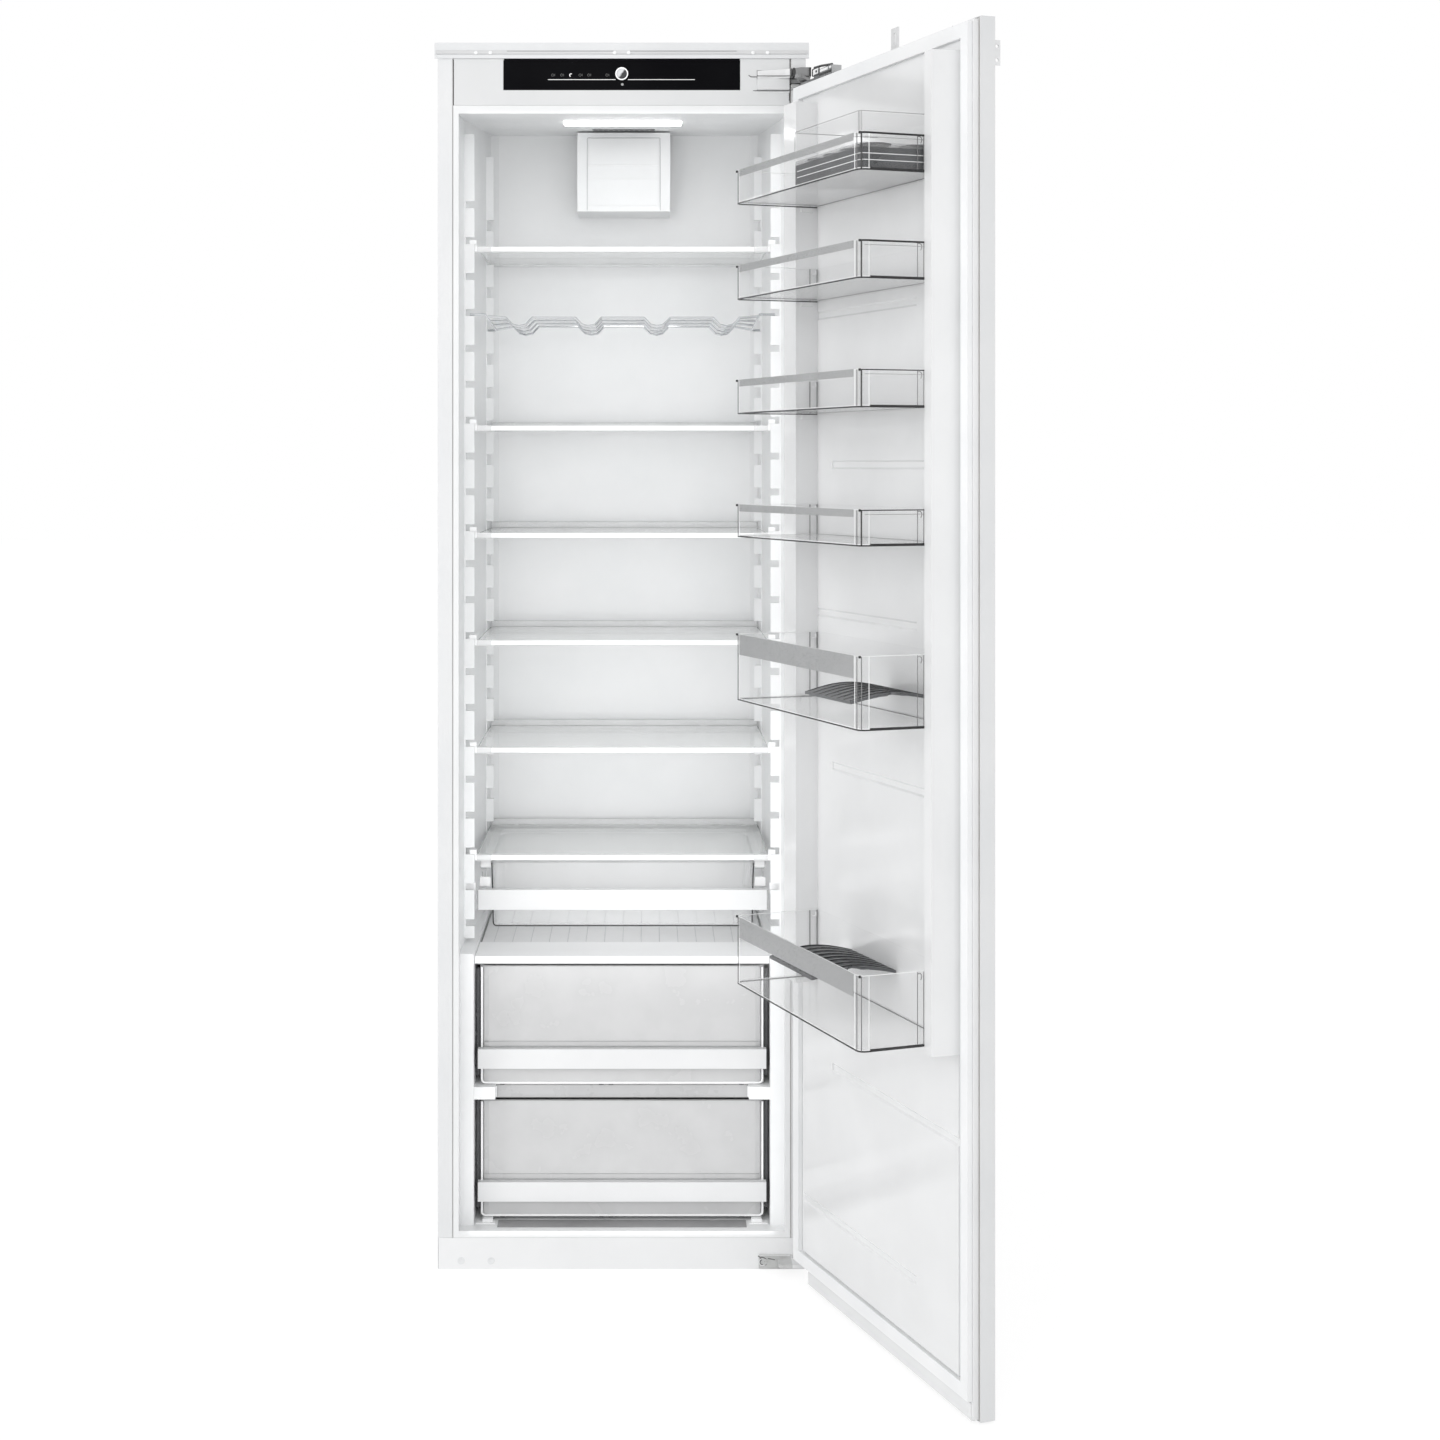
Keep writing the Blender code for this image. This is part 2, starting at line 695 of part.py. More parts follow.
def rectangle(x0, x1, y0, y1):
    return [(x0, y0), (x1, y0), (x1, y1), (x0, y1)]


def mirrored(outline):
    """A half outline at +X, followed by its mirror image."""
    return outline + [(-x, y) for x, y in reversed(outline)]


def shell(name, x0, x1, y0, y1, z0, z1, wall, radii, paint):
    """An open-topped tray with rounded upright corners."""
    outer = rounded(x0, x1, y0, y1, radii)
    inner_radii = [max(radius - wall, 0) for radius in radii]
    inner = rounded(x0 + wall, x1 - wall, y0 + wall, y1 - wall, inner_radii)
    body = prism(name, [outer], "Z", z0, z1, paint)
    hollow = prism(name + "_hollow", [inner], "Z", z0 + wall, z1 + MARGIN)
    return cut(body, hollow)


def place_at(target, origin):
    """Moves a part's own origin, leaving its shape in place."""
    target.data.transform(Matrix.Translation(-Vector(origin)))
    target.location = origin
    return target


for item in list(bpy.data.objects):
    bpy.data.objects.remove(item, do_unlink=True)

MERGE = 0.00001
FINE_MERGE = 0.000002
FLATNESS = math.radians(0.5)
WIRE_ROUNDING_STEPS = 2
PARTS = fresh_collection("column_refrigerator", False)
CUTTERS = fresh_collection("cutters", True)

WHITE_PAINT = finish("casing_paint", (0.80, 0.81, 0.82), 0.35, 0.0)
GREY_PAINT = finish("panel_grey", (0.45, 0.46, 0.48), 0.5, 0.1)
LINER_WHITE = finish("liner_white", (0.78, 0.79, 0.80), 0.4, 0.0)
FOAM = finish("foam", (0.75, 0.66, 0.42), 0.95, 0.0)
ALUMINIUM = finish("trim_aluminium", (0.70, 0.71, 0.73), 0.35, 1.0)
PLASTIC = finish("fascia_white", (0.76, 0.77, 0.78), 0.45, 0.0)
BLACK_GLASS = finish("display_black", (0.010, 0.010, 0.012), 0.08, 0.0)
KNOB_METAL = finish("knob_metal", (0.65, 0.66, 0.68), 0.25, 1.0)
LENS = finish("lens_clear", (0.92, 0.93, 0.95), 0.2, 0.0, 1.0, 0.6)
SHELF_CLEAR = finish("shelf_glass", (0.86, 0.93, 0.91), 0.05, 0.0, 1.0, 0.9)
TRIM_WHITE = finish("shelf_trim_white", (0.85, 0.86, 0.87), 0.4, 0.0)
CHROME = finish("rack_chrome", (0.75, 0.76, 0.78), 0.12, 1.0)
CLEAR = finish("bin_clear", (0.90, 0.92, 0.93), 0.12, 0.0, 1.0, 0.85)
DRAWER = finish("drawer_frosted", (0.72, 0.74, 0.75), 0.3, 0.0, 1.0, 0.35)
HANDLE_WHITE = finish("handle_white", (0.88, 0.89, 0.90), 0.35, 0.0)
DARK = finish("insert_grey", (0.08, 0.085, 0.09), 0.55, 0.0)
RUBBER = finish("gasket_rubber", (0.80, 0.81, 0.82), 0.7, 0.0)
STEEL = finish("hinge_steel", (0.50, 0.51, 0.53), 0.3, 1.0)
BLACK = finish("compressor_black", (0.02, 0.02, 0.022), 0.45, 0.0)
BLACK_PLASTIC = finish("motor_black", (0.03, 0.03, 0.03), 0.5, 0.0)


def back(distance):
    """The Y of a point this far behind the front plane."""
    return FRONT + distance


def ceiling(distance, inset):
    return OPENING_TOP + CEILING_RISE * distance / CAVITY_DEPTH + inset


def cavity(name, grow, front, paint=None):
    """The space inside the liner, grown outward on every side but the front."""
    plan = mirrored(
        [
            (OPENING_HALF + grow, front),
            (WALL_HALF + grow, back(MOUTH_DEPTH)),
            (WALL_HALF + grow, back(STRAIGHT_DEPTH)),
            (TAPER_HALF + grow, back(TAPER_DEPTH)),
            (BACK_HALF + grow, back(CAVITY_DEPTH) + grow - BACK_CORNER),
            (BACK_HALF + grow - BACK_CORNER, back(CAVITY_DEPTH) + grow),
        ]
    )
    side = [
        (front - MARGIN, OPENING_FLOOR - grow),
        (back(0), OPENING_FLOOR - grow),
        (back(FLOOR_DEPTH), FLOOR_LEVEL - grow),
        (back(HUMP_DEPTH) + grow, FLOOR_LEVEL - grow),
        (back(HUMP_DEPTH) + grow, HUMP_TOP - grow),
        (back(CAVITY_DEPTH) + MARGIN, HUMP_TOP - grow),
        (back(CAVITY_DEPTH) + MARGIN, ceiling(CAVITY_DEPTH + MARGIN, grow)),
        (front - MARGIN, ceiling(front - MARGIN - FRONT, grow)),
    ]
    body = prism(name, [plan], "Z", FLOOR_LEVEL - MARGIN, ceiling(CAVITY_DEPTH, MARGIN), paint)
    meet(body, prism(name + "_side", [side], "X", -HALF, HALF))
    for sign, label in ((-1, "left"), (1, "right")):
        inner = sign * (ZONE_HALF + grow)
        outer = sign * (HALF + MARGIN)
        block = box(
            name + "_zone_" + label,
            (min(inner, outer), back(DRAWER_ZONE_FRONT) + grow, -MARGIN),
            (max(inner, outer), REAR, DRAWER_ZONE_TOP - grow),
        )
        cut(body, block)
    return body


def rail(name, sign, wall, rise, start, length, foot, height, cut_depth):
    """One ladder rail: a rib on the wall with a notch at every shelf level."""
    face = sign * (wall - rise)
    root = sign * (wall + OVERLAP)
    bottom = sign * (wall - rise + cut_depth)
    beyond = sign * (wall - rise - MARGIN)
    rib = box(
        name,
        (min(face, root), back(start), RAIL_FOOT),
        (max(face, root), back(start + length), OPENING_TOP - RAIL_HEAD_GAP),
    )
    level = LOWEST_SHELF_TOP + NOTCH_STEPS[0] * PITCH + foot
    notch = box(
        name + "_notches",
        (min(bottom, beyond), back(start) - MARGIN, level),
        (max(bottom, beyond), back(start + length) + MARGIN, level + height),
    )
    row = notch.modifiers.new("Levels", "ARRAY")
    row.count = len(NOTCH_STEPS)
    row.use_relative_offset = False
    row.use_constant_offset = True
    row.constant_offset_displace = (0, 0, PITCH)
    return cut(rib, notch)


# Cabinet shell.
casing = box("casing_wrap", (-HALF, FRONT, 0), (HALF, REAR, CASING_TOP), WHITE_PAINT)
cut(
    casing,
    box(
        "casing_inside",
        (SHEET - HALF, FRONT + SHEET, -MARGIN),
        (HALF - SHEET, REAR + MARGIN, CASING_TOP - SHEET),
    ),
    box(
        "casing_window",
        (-RETURN_INNER, FRONT - MARGIN, -MARGIN),
        (RETURN_INNER, FRONT + SHEET + MARGIN, FASCIA_TOP + SEAT),
    ),
    box(
        "casing_toe",
        (-INSIDE_HALF - SEAT, FRONT - MARGIN, -MARGIN),
        (INSIDE_HALF + SEAT, FRONT + SHEET + MARGIN, PLINTH_TOP + SEAT),
    ),
)

panel_top = CASING_TOP - SHEET - SEAT
niche = back(NICHE_DEPTH)
prism(
    "back_panel",
    [
        [
            (REAR, panel_top),
            (REAR - SHEET, panel_top),
            (REAR - SHEET, NICHE_TOP + SHEET),
            (niche - SHEET, NICHE_TOP + SHEET),
            (niche - SHEET, BASE_SHEET + SEAT),
            (niche, BASE_SHEET + SEAT),
            (niche, NICHE_TOP),
            (REAR, NICHE_TOP),
        ]
    ],
    "X",
    -INSIDE_HALF,
    INSIDE_HALF,
    GREY_PAINT,
)
prism(
    "base_plinth",
    [
        [
            (FRONT, 0),
            (REAR, 0),
            (REAR, BASE_SHEET),
            (FRONT + BASE_SHEET, BASE_SHEET),
            (FRONT + BASE_SHEET, PLINTH_TOP),
            (FRONT, PLINTH_TOP),
        ]
    ],
    "X",
    -INSIDE_HALF,
    INSIDE_HALF,
    WHITE_PAINT,
)

# Liner, and the foam between it and the casing.
liner = cavity("liner", SKIN, FRONT, LINER_WHITE)
flange = box(
    "liner_flange",
    (-FLANGE_HALF, FRONT, PLINTH_TOP + SEAT),
    (FLANGE_HALF, FRONT + BASE_SHEET, FASCIA_FOOT - SEAT),
)
liner_front = box(
    "liner_front",
    (-HALF, FRONT - MARGIN * 3, -MARGIN),
    (HALF, FRONT, CASING_TOP),
)
cut(liner, liner_front)
join(liner, flange)
cut(liner, cavity("liner_inside", 0, FRONT - MARGIN))
fittings = []
for sign, side in ((-1, "left"), (1, "right")):
    fittings.append(
        rail(
            "rail_front_" + side,
            sign,
            WALL_HALF,
            FRONT_RAIL_RISE,
            FRONT_RAIL_DEPTH,
            FRONT_RAIL_LENGTH,
            FRONT_NOTCH_FOOT,
            FRONT_NOTCH_HEIGHT,
            FRONT_NOTCH_DEPTH,
        )
    )
    fittings.append(
        rail(
            "rail_rear_" + side,
            sign,
            TAPER_HALF,
            REAR_RAIL_RISE,
            REAR_RAIL_DEPTH,
            REAR_RAIL_LENGTH,
            REAR_NOTCH_FOOT,
            REAR_NOTCH_HEIGHT,
            REAR_NOTCH_DEPTH,
        )
    )
    ledge = sorted((sign * LEDGE_INNER, sign * (ZONE_HALF + OVERLAP)))
    ledge_profile = [
        (back(LEDGE_FRONT), LEDGE_FOOT),
        (back(HUMP_DEPTH) + OVERLAP, LEDGE_FOOT),
        (back(HUMP_DEPTH) + OVERLAP, HUMP_TOP - OVERLAP),
        (back(LEDGE_REAR), HUMP_TOP - OVERLAP),
        (back(LEDGE_REAR), LEDGE_TOP),
        (back(LEDGE_FRONT), LEDGE_TOP),
    ]
    fittings.append(prism("ledge_" + side, [ledge_profile], "X", ledge[0], ledge[1]))
    runner = sorted((sign * RUNNER_INNER, sign * RUNNER_OUTER))
    fittings.append(
        box(
            "runner_" + side,
            (runner[0], back(RUNNER_FRONT), FLOOR_LEVEL - OVERLAP),
            (runner[1], back(RUNNER_REAR), RUNNER_TOP),
        )
    )
join(liner, *fittings)

foam_front = FRONT + BASE_SHEET + SEAT
foam = prism(
    "insulation_foam",
    [
        [
            (foam_front, BASE_SHEET + SEAT),
            (niche - SHEET - SEAT, BASE_SHEET + SEAT),
            (niche - SHEET - SEAT, NICHE_TOP + SHEET + SEAT),
            (REAR - SHEET - SEAT, NICHE_TOP + SHEET + SEAT),
            (REAR - SHEET - SEAT, panel_top),
            (foam_front, panel_top),
        ]
    ],
    "X",
    SEAT - INSIDE_HALF,
    INSIDE_HALF - SEAT,
    FOAM,
)
cut(
    foam,
    cavity("foam_cavity", SKIN + SEAT, FRONT - MARGIN),
    box(
        "foam_fascia_pocket",
        (-FLANGE_HALF - SEAT, FRONT - MARGIN, FASCIA_FOOT - SEAT),
        (FLANGE_HALF + SEAT, back(FASCIA_DEPTH) + SEAT, FASCIA_TOP + SEAT),
    ),
)

# Trim across the top.
trim_foot = FASCIA_TOP + SEAT
trim_top = CASING_TOP + TRIM_RISE
trim_face = FRONT - SEAT - TRIM_LEG
trim_half = HALF + TRIM_OVERHANG
groove_foot = trim_foot + TRIM_GROOVE_FOOT
outer_hole = HALF - TRIM_HOLE_INSET
hole_spots = [TRIM_HOLE_MIDDLE, -TRIM_HOLE_MIDDLE]
for inset in (0, TRIM_HOLE_PITCH):
    hole_spots += [outer_hole - inset, inset - outer_hole]
top_trim = prism(
    "top_trim",
    [
        [
            (trim_face, trim_foot),
            (FRONT - SEAT, trim_foot),
            (FRONT - SEAT, CASING_TOP + SEAT),
            (trim_face + TRIM_LENGTH, CASING_TOP + SEAT),
            (trim_face + TRIM_LENGTH, trim_top),
            (trim_face, trim_top),
            (trim_face, groove_foot + TRIM_GROOVE_HEIGHT),
            (trim_face + TRIM_GROOVE, groove_foot + TRIM_GROOVE_HEIGHT),
            (trim_face + TRIM_GROOVE, groove_foot),
            (trim_face, groove_foot),
        ]
    ],
    "X",
    -trim_half,
    trim_half,
    ALUMINIUM,
)
cut(
    top_trim,
    *[
        prism(
            "trim_hole_" + str(at),
            [circle(spot, trim_top - TRIM_HOLE_DROP, TRIM_HOLE_RADIUS, 8)],
            "Y",
            trim_face - MARGIN,
            trim_face + TRIM_LEG / 2,
        )
        for at, spot in enumerate(hole_spots)
    ],
)

# Fascia with its glass panel and the knob.
fascia = box(
    "control_fascia",
    (-FASCIA_HALF, FRONT, FASCIA_FOOT),
    (FASCIA_HALF, back(FASCIA_DEPTH), FASCIA_TOP),
    PLASTIC,
)
glass_foot = FASCIA_FOOT + GLASS_FOOT_RISE
cut(
    fascia,
    box(
        "fascia_inside",
        (FASCIA_WALL - FASCIA_HALF, FRONT + FASCIA_WALL * 2, FASCIA_FOOT + FASCIA_WALL),
        (FASCIA_HALF - FASCIA_WALL, REAR, FASCIA_TOP - FASCIA_WALL),
    ),
    box(
        "fascia_glass_recess",
        (-GLASS_HALF - SEAT, FRONT - MARGIN, glass_foot - SEAT),
        (GLASS_HALF + SEAT, FRONT + GLASS_THICKNESS + SEAT, glass_foot + GLASS_HEIGHT + SEAT),
    ),
    box(
        "fascia_hinge_pocket",
        (ARM_INNER - POCKET_GAP, FRONT - MARGIN, ARM_FOOT - POCKET_GAP),
        (FASCIA_HALF + MARGIN, back(ARM_DEPTH) + SEAT, ARM_FOOT + ARM_HEIGHT + POCKET_GAP),
    ),
    prism(
        "fascia_spindle_hole",
        [circle(0, KNOB_HEIGHT, SPINDLE_RADIUS + SPINDLE_CLEARANCE)],
        "Y",
        FRONT - MARGIN,
        back(FASCIA_DEPTH),
    ),
)
prism(
    "display_glass",
    [
        rectangle(-GLASS_HALF, GLASS_HALF, glass_foot, glass_foot + GLASS_HEIGHT),
        circle(0, KNOB_HEIGHT, SPINDLE_RADIUS + SPINDLE_CLEARANCE),
    ],
    "Y",
    FRONT,
    FRONT + GLASS_THICKNESS,
    BLACK_GLASS,
)
knob_back = KNOB_STANDOFF - KNOB_PROUD
knob = turned(
    "control_knob",
    [
        (0, -KNOB_DISH),
        (KNOB_RADIUS - KNOB_RIM * 2, -KNOB_DISH),
        (KNOB_RADIUS - KNOB_RIM, 0),
        (KNOB_RADIUS, 0),
        (KNOB_RADIUS, knob_back),
        (SPINDLE_RADIUS, knob_back),
        (SPINDLE_RADIUS, -KNOB_PROUD - SPINDLE_LENGTH),
        (0, -KNOB_PROUD - SPINDLE_LENGTH),
    ],
    "-Y",
    (0, FRONT - KNOB_PROUD, KNOB_HEIGHT),
    KNOB_METAL,
)
place_at(knob, (0, FRONT, KNOB_HEIGHT))

# Light in the ceiling.
lens_top = ceiling(LENS_FRONT, -SEAT)
lens_drop = CEILING_RISE * LENS_LENGTH / CAVITY_DEPTH
prism(
    "light_lens",
    [
        [
            (back(LENS_FRONT), lens_top - LENS_THICKNESS),
            (back(LENS_FRONT + LENS_LENGTH), lens_top + lens_drop - LENS_THICKNESS),
            (back(LENS_FRONT + LENS_LENGTH), lens_top + lens_drop),
            (back(LENS_FRONT), lens_top),
        ]
    ],
    "X",
    -LENS_HALF,
    LENS_HALF,
    LENS,
)

# Fan unit on the back wall.
fan_rear = back(CAVITY_DEPTH) - SEAT
fan = box(
    "fan_housing",
    (-FAN_HALF, back(FAN_FRONT), FAN_FOOT),
    (FAN_HALF, fan_rear, FAN_TOP),
    LINER_WHITE,
)
cover_foot = FAN_FOOT + COVER_FOOT_RISE
cut(
    fan,
    box(
        "fan_inside",
        (FAN_WALL - FAN_HALF, back(FAN_FRONT) + FAN_WALL * 2, FAN_FOOT + FAN_WALL),
        (FAN_HALF - FAN_WALL, REAR, FAN_TOP - FAN_WALL),
    ),
    box(
        "fan_cover_recess",
        (-COVER_HALF - SEAT, FRONT, cover_foot - SEAT),
        (
            COVER_HALF + SEAT,
            back(FAN_FRONT) + COVER_THICKNESS + SEAT,
            cover_foot + COVER_HEIGHT + SEAT,
        ),
    ),
    box(
        "fan_top_vent",
        (-FAN_VENT_HALF, back(FAN_FRONT + FAN_VENT_DEPTH), FAN_TOP - FAN_WALL * 2),
        (FAN_VENT_HALF, back(FAN_FRONT + FAN_VENT_DEPTH + FAN_VENT_LENGTH), FAN_TOP + MARGIN),
    ),
    prism(
        "fan_mouth",
        [circle(0, ROTOR_HEIGHT, ROTOR_RADIUS, 20)],
        "Y",
        FRONT,
        back(FAN_FRONT) + FAN_WALL * 3,
    ),
)
fan_cover = box(
    "fan_cover",
    (-COVER_HALF, back(FAN_FRONT) + SEAT, cover_foot),
    (COVER_HALF, back(FAN_FRONT) + COVER_THICKNESS, cover_foot + COVER_HEIGHT),
    LINER_WHITE,
)
cut(
    fan_cover,
    box(
        "fan_cover_step",
        (-HALF, FRONT, cover_foot - MARGIN),
        (HALF, back(FAN_FRONT) + SEAT + COVER_STEP / 2, cover_foot + COVER_STEP_FOOT),
    ),
)
motor_face = -back(MOTOR_FRONT)
turned(
    "fan_motor",
    [
        (0, motor_face + SHAFT_LENGTH),
        (SHAFT_RADIUS, motor_face + SHAFT_LENGTH),
        (SHAFT_RADIUS, motor_face),
        (MOTOR_RADIUS, motor_face),
        (MOTOR_RADIUS, -fan_rear),
        (0, -fan_rear),
    ],
    "-Y",
    (0, 0, ROTOR_HEIGHT),
    BLACK_PLASTIC,
    16,
)
rotor_rear = motor_face + OVERLAP
rotor = turned(
    "fan_rotor",
    [
        (ROTOR_BORE, rotor_rear + ROTOR_LENGTH),
        (ROTOR_HUB, rotor_rear + ROTOR_LENGTH),
        (ROTOR_HUB, rotor_rear),
        (ROTOR_BORE, rotor_rear),
        (ROTOR_BORE, rotor_rear + ROTOR_LENGTH),
    ],
    "-Y",
    (0, 0, ROTOR_HEIGHT),
    PLASTIC,
    16,
)
blades = []
rotor_middle = -rotor_rear - ROTOR_LENGTH / 2
for index in range(BLADE_COUNT):
    blade = box(
        "blade_" + str(index),
        (ROTOR_HUB - BLADE_ROOT, -ROTOR_LENGTH / 2, -BLADE_THICKNESS / 2),
        (ROTOR_RADIUS - BLADE_CLEARANCE, ROTOR_LENGTH / 2, BLADE_THICKNESS / 2),
    )
    pitched = Matrix.Rotation(math.radians(BLADE_PITCH_DEG), 4, "X")
    spun = Matrix.Rotation(2 * math.pi * index / BLADE_COUNT, 4, "Y")
    shift = Matrix.Translation((0, rotor_middle, ROTOR_HEIGHT))
    blade.data.transform(shift @ spun @ pitched)
    blades.append(blade)
join(rotor, *blades)
place_at(rotor, (0, rotor_middle, ROTOR_HEIGHT))

# Shelves.
for number, step in enumerate(reversed(SHELF_STEPS), start=1):
    top = LOWEST_SHELF_TOP + step * PITCH
    glass_top = top - SHELF_GLASS_DROP
    glass_front = back(SHELF_FRONT + SHELF_TRIM_LENGTH) + SEAT
    glass_half = SHELF_HALF - SHELF_GLASS_INSET
    plate = prism(
        "shelf_glass_" + str(number),
        [
            mirrored(
                [
                    (glass_half, glass_front),
                    (glass_half, back(SHELF_TAPER_DEPTH)),
                    (SHELF_REAR_HALF, back(SHELF_REAR)),
                ]
            )
        ],
        "Z",
        glass_top - SHELF_GLASS,
        glass_top,
        SHELF_CLEAR,
    )
    upstand = box(
        "upstand_" + str(number),
        (-SHELF_REAR_HALF, back(SHELF_REAR - REAR_TRIM_LENGTH), glass_top - SHELF_GLASS),
        (SHELF_REAR_HALF, back(SHELF_REAR) + OVERLAP, top + REAR_TRIM_RISE),
    )
    join(plate, upstand)
    trim = box(
        "shelf_front_trim_" + str(number),
        (-SHELF_HALF, back(SHELF_FRONT), top - SHELF_TRIM_HEIGHT),
        (SHELF_HALF, back(SHELF_FRONT + SHELF_TRIM_LENGTH), top),
        TRIM_WHITE,
    )
    hooks = []
    for sign, side in ((-1, "left"), (1, "right")):
        near, far = sorted((sign * HOOK_INNER, sign * HOOK_OUTER))
        profile = [
            (back(HOOK_TIP_DEPTH), top + HOOK_SEAT),
            (back(SHELF_FRONT) - HOOK_BACK / 2, top + HOOK_SEAT),
            (back(SHELF_FRONT) - HOOK_BACK / 2, top - SHELF_TRIM_HEIGHT),
            (back(SHELF_FRONT) + HOOK_BACK, top - SHELF_TRIM_HEIGHT),
            (back(SHELF_FRONT) + HOOK_BACK, top + HOOK_TOP),
            (back(HOOK_TIP_DEPTH), top + HOOK_TOP),
        ]
        hooks.append(prism("hook_" + side + str(number), [profile], "X", near, far))
    join(trim, *hooks)

# Wire bottle rack, hooked into one row of notches.
rack_level = LOWEST_SHELF_TOP + RACK_STEP * PITCH
rack_crest = rack_level + RACK_CREST_RISE
hook_front = rack_level + FRONT_NOTCH_FOOT + SEAT + RACK_WIRE
hook_rear = rack_level + REAR_NOTCH_FOOT + SEAT + RACK_WIRE


def side_height(distance):
    share = (distance - RACK_FRONT - RACK_BEND) / (RACK_REAR - RACK_FRONT - RACK_BEND * 2)
    return hook_front + (hook_rear - hook_front) * min(max(share, 0), 1)


waves = []
for number, depth_share in enumerate(RACK_DEPTH_SHARES):
    distance = RACK_FRONT + (RACK_REAR - RACK_FRONT) * depth_share
    points = [(-RACK_SIDE - OVERLAP, back(distance), side_height(distance))]
    for trough in RACK_TROUGH_SHARES:
        for along, dip in RACK_WAVE:
            points.append((trough * RACK_SIDE + along, back(distance), rack_crest - dip))
    points.append((RACK_SIDE + OVERLAP, back(distance), side_height(distance)))
    waves.append(wire("wave_" + str(number), points, RACK_WIRE, CHROME))
rack = waves.pop(0)
rack.name = "bottle_rack"
sides = []
for sign, side in ((-1, "left"), (1, "right")):
    points = [
        (sign * RACK_FRONT_HOOK, back(RACK_FRONT), hook_front),
        (sign * (RACK_SIDE + RACK_BEND), back(RACK_FRONT), hook_front),
        (sign * RACK_SIDE, back(RACK_FRONT + RACK_BEND), hook_front),
        (sign * RACK_SIDE, back(RACK_REAR - RACK_BEND), hook_rear),
        (sign * (RACK_SIDE + RACK_BEND), back(RACK_REAR), hook_rear),
        (sign * RACK_REAR_HOOK, back(RACK_REAR), hook_rear),
    ]
    sides.append(wire("rack_side_" + side, points, RACK_WIRE))
join(rack, *sides)
join(rack, *waves)

# Hanger frame under the lowest shelf, and the shallow drawer in it.
hanger_top = LOWEST_SHELF_TOP - SHELF_GLASS_DROP - SHELF_GLASS - SEAT
hanger_foot = hanger_top - HANGER_HEIGHT
hanger = box(
    "drawer_hanger",
    (-HANGER_OUTER, back(HANGER_REAR - HANGER_BAR), hanger_top - HANGER_BAR),
    (HANGER_OUTER, back(HANGER_REAR), hanger_top),
    PLASTIC,
)
arms = []
for sign, side in ((-1, "left"), (1, "right")):
    channel = [
        (sign * HANGER_INNER, hanger_top),
        (sign * HANGER_OUTER, hanger_top),
        (sign * HANGER_OUTER, hanger_foot),
        (sign * HANGER_INNER, hanger_foot),
        (sign * HANGER_INNER, hanger_foot + HANGER_LEDGE),
        (sign * (HANGER_OUTER - HANGER_WALL), hanger_foot + HANGER_LEDGE),
        (sign * (HANGER_OUTER - HANGER_WALL), hanger_top - HANGER_WALL),
        (sign * HANGER_INNER, hanger_top - HANGER_WALL),
    ]
    arms.append(
        prism("hanger_" + side, [channel], "Y", back(HANGER_FRONT), back(HANGER_REAR - OVERLAP))
    )
join(hanger, *arms)
tray_corners = (TRAY_CORNER,) * 4
tray = shell(
    "shallow_drawer",
    -TRAY_HALF,
    TRAY_HALF,
    back(TRAY_FRONT),
    back(TRAY_REAR),
    TRAY_FOOT,
    TRAY_TOP,
    TRAY_WALL,
    tray_corners,
    DRAWER,
)
rim_foot = hanger_foot + HANGER_LEDGE + SEAT
rims = []
for sign, side in ((-1, "left"), (1, "right")):
    near, far = sorted((sign * (TRAY_HALF - TRAY_WALL / 2), sign * (TRAY_HALF + TRAY_RIM)))
    rims.append(
        box(
            "tray_rim_" + side,
            (near, back(HANGER_FRONT), rim_foot),
            (far, back(TRAY_REAR - TRAY_CORNER), rim_foot + TRAY_RIM_HEIGHT),
        )
    )
join(tray, *rims)


def grip(name, half, front, foot, height, reach):
    """A handle strip: a front plate with turned-in edges, against a drawer's front."""
    rear = front - SEAT
    face = rear - reach
    profile = [
        (face, foot),
        (rear, foot),
        (rear, foot + HANDLE_WALL),
        (face + HANDLE_WALL, foot + HANDLE_WALL),
        (face + HANDLE_WALL, foot + height - HANDLE_WALL),
        (rear, foot + height - HANDLE_WALL),
        (rear, foot + height),
        (face, foot + height),
    ]
    made = prism(name, [profile], "X", -half, half, HANDLE_WHITE)
    ends = []
    for sign, side in ((-1, "left"), (1, "right")):
        near, far = sorted((sign * (half - HANDLE_END), sign * (half - OVERLAP)))
        ends.append(
            box(
                name + "_end_" + side,
                (near, face + OVERLAP, foot + OVERLAP),
                (far, rear, foot + height - OVERLAP),
            )
        )
    return join(made, *ends)


grip(
    "shallow_drawer_handle",
    TRAY_HANDLE_HALF,
    back(TRAY_FRONT),
    TRAY_HANDLE_FOOT,
    TRAY_HANDLE_HEIGHT,
    TRAY_HANDLE_DEPTH,
)

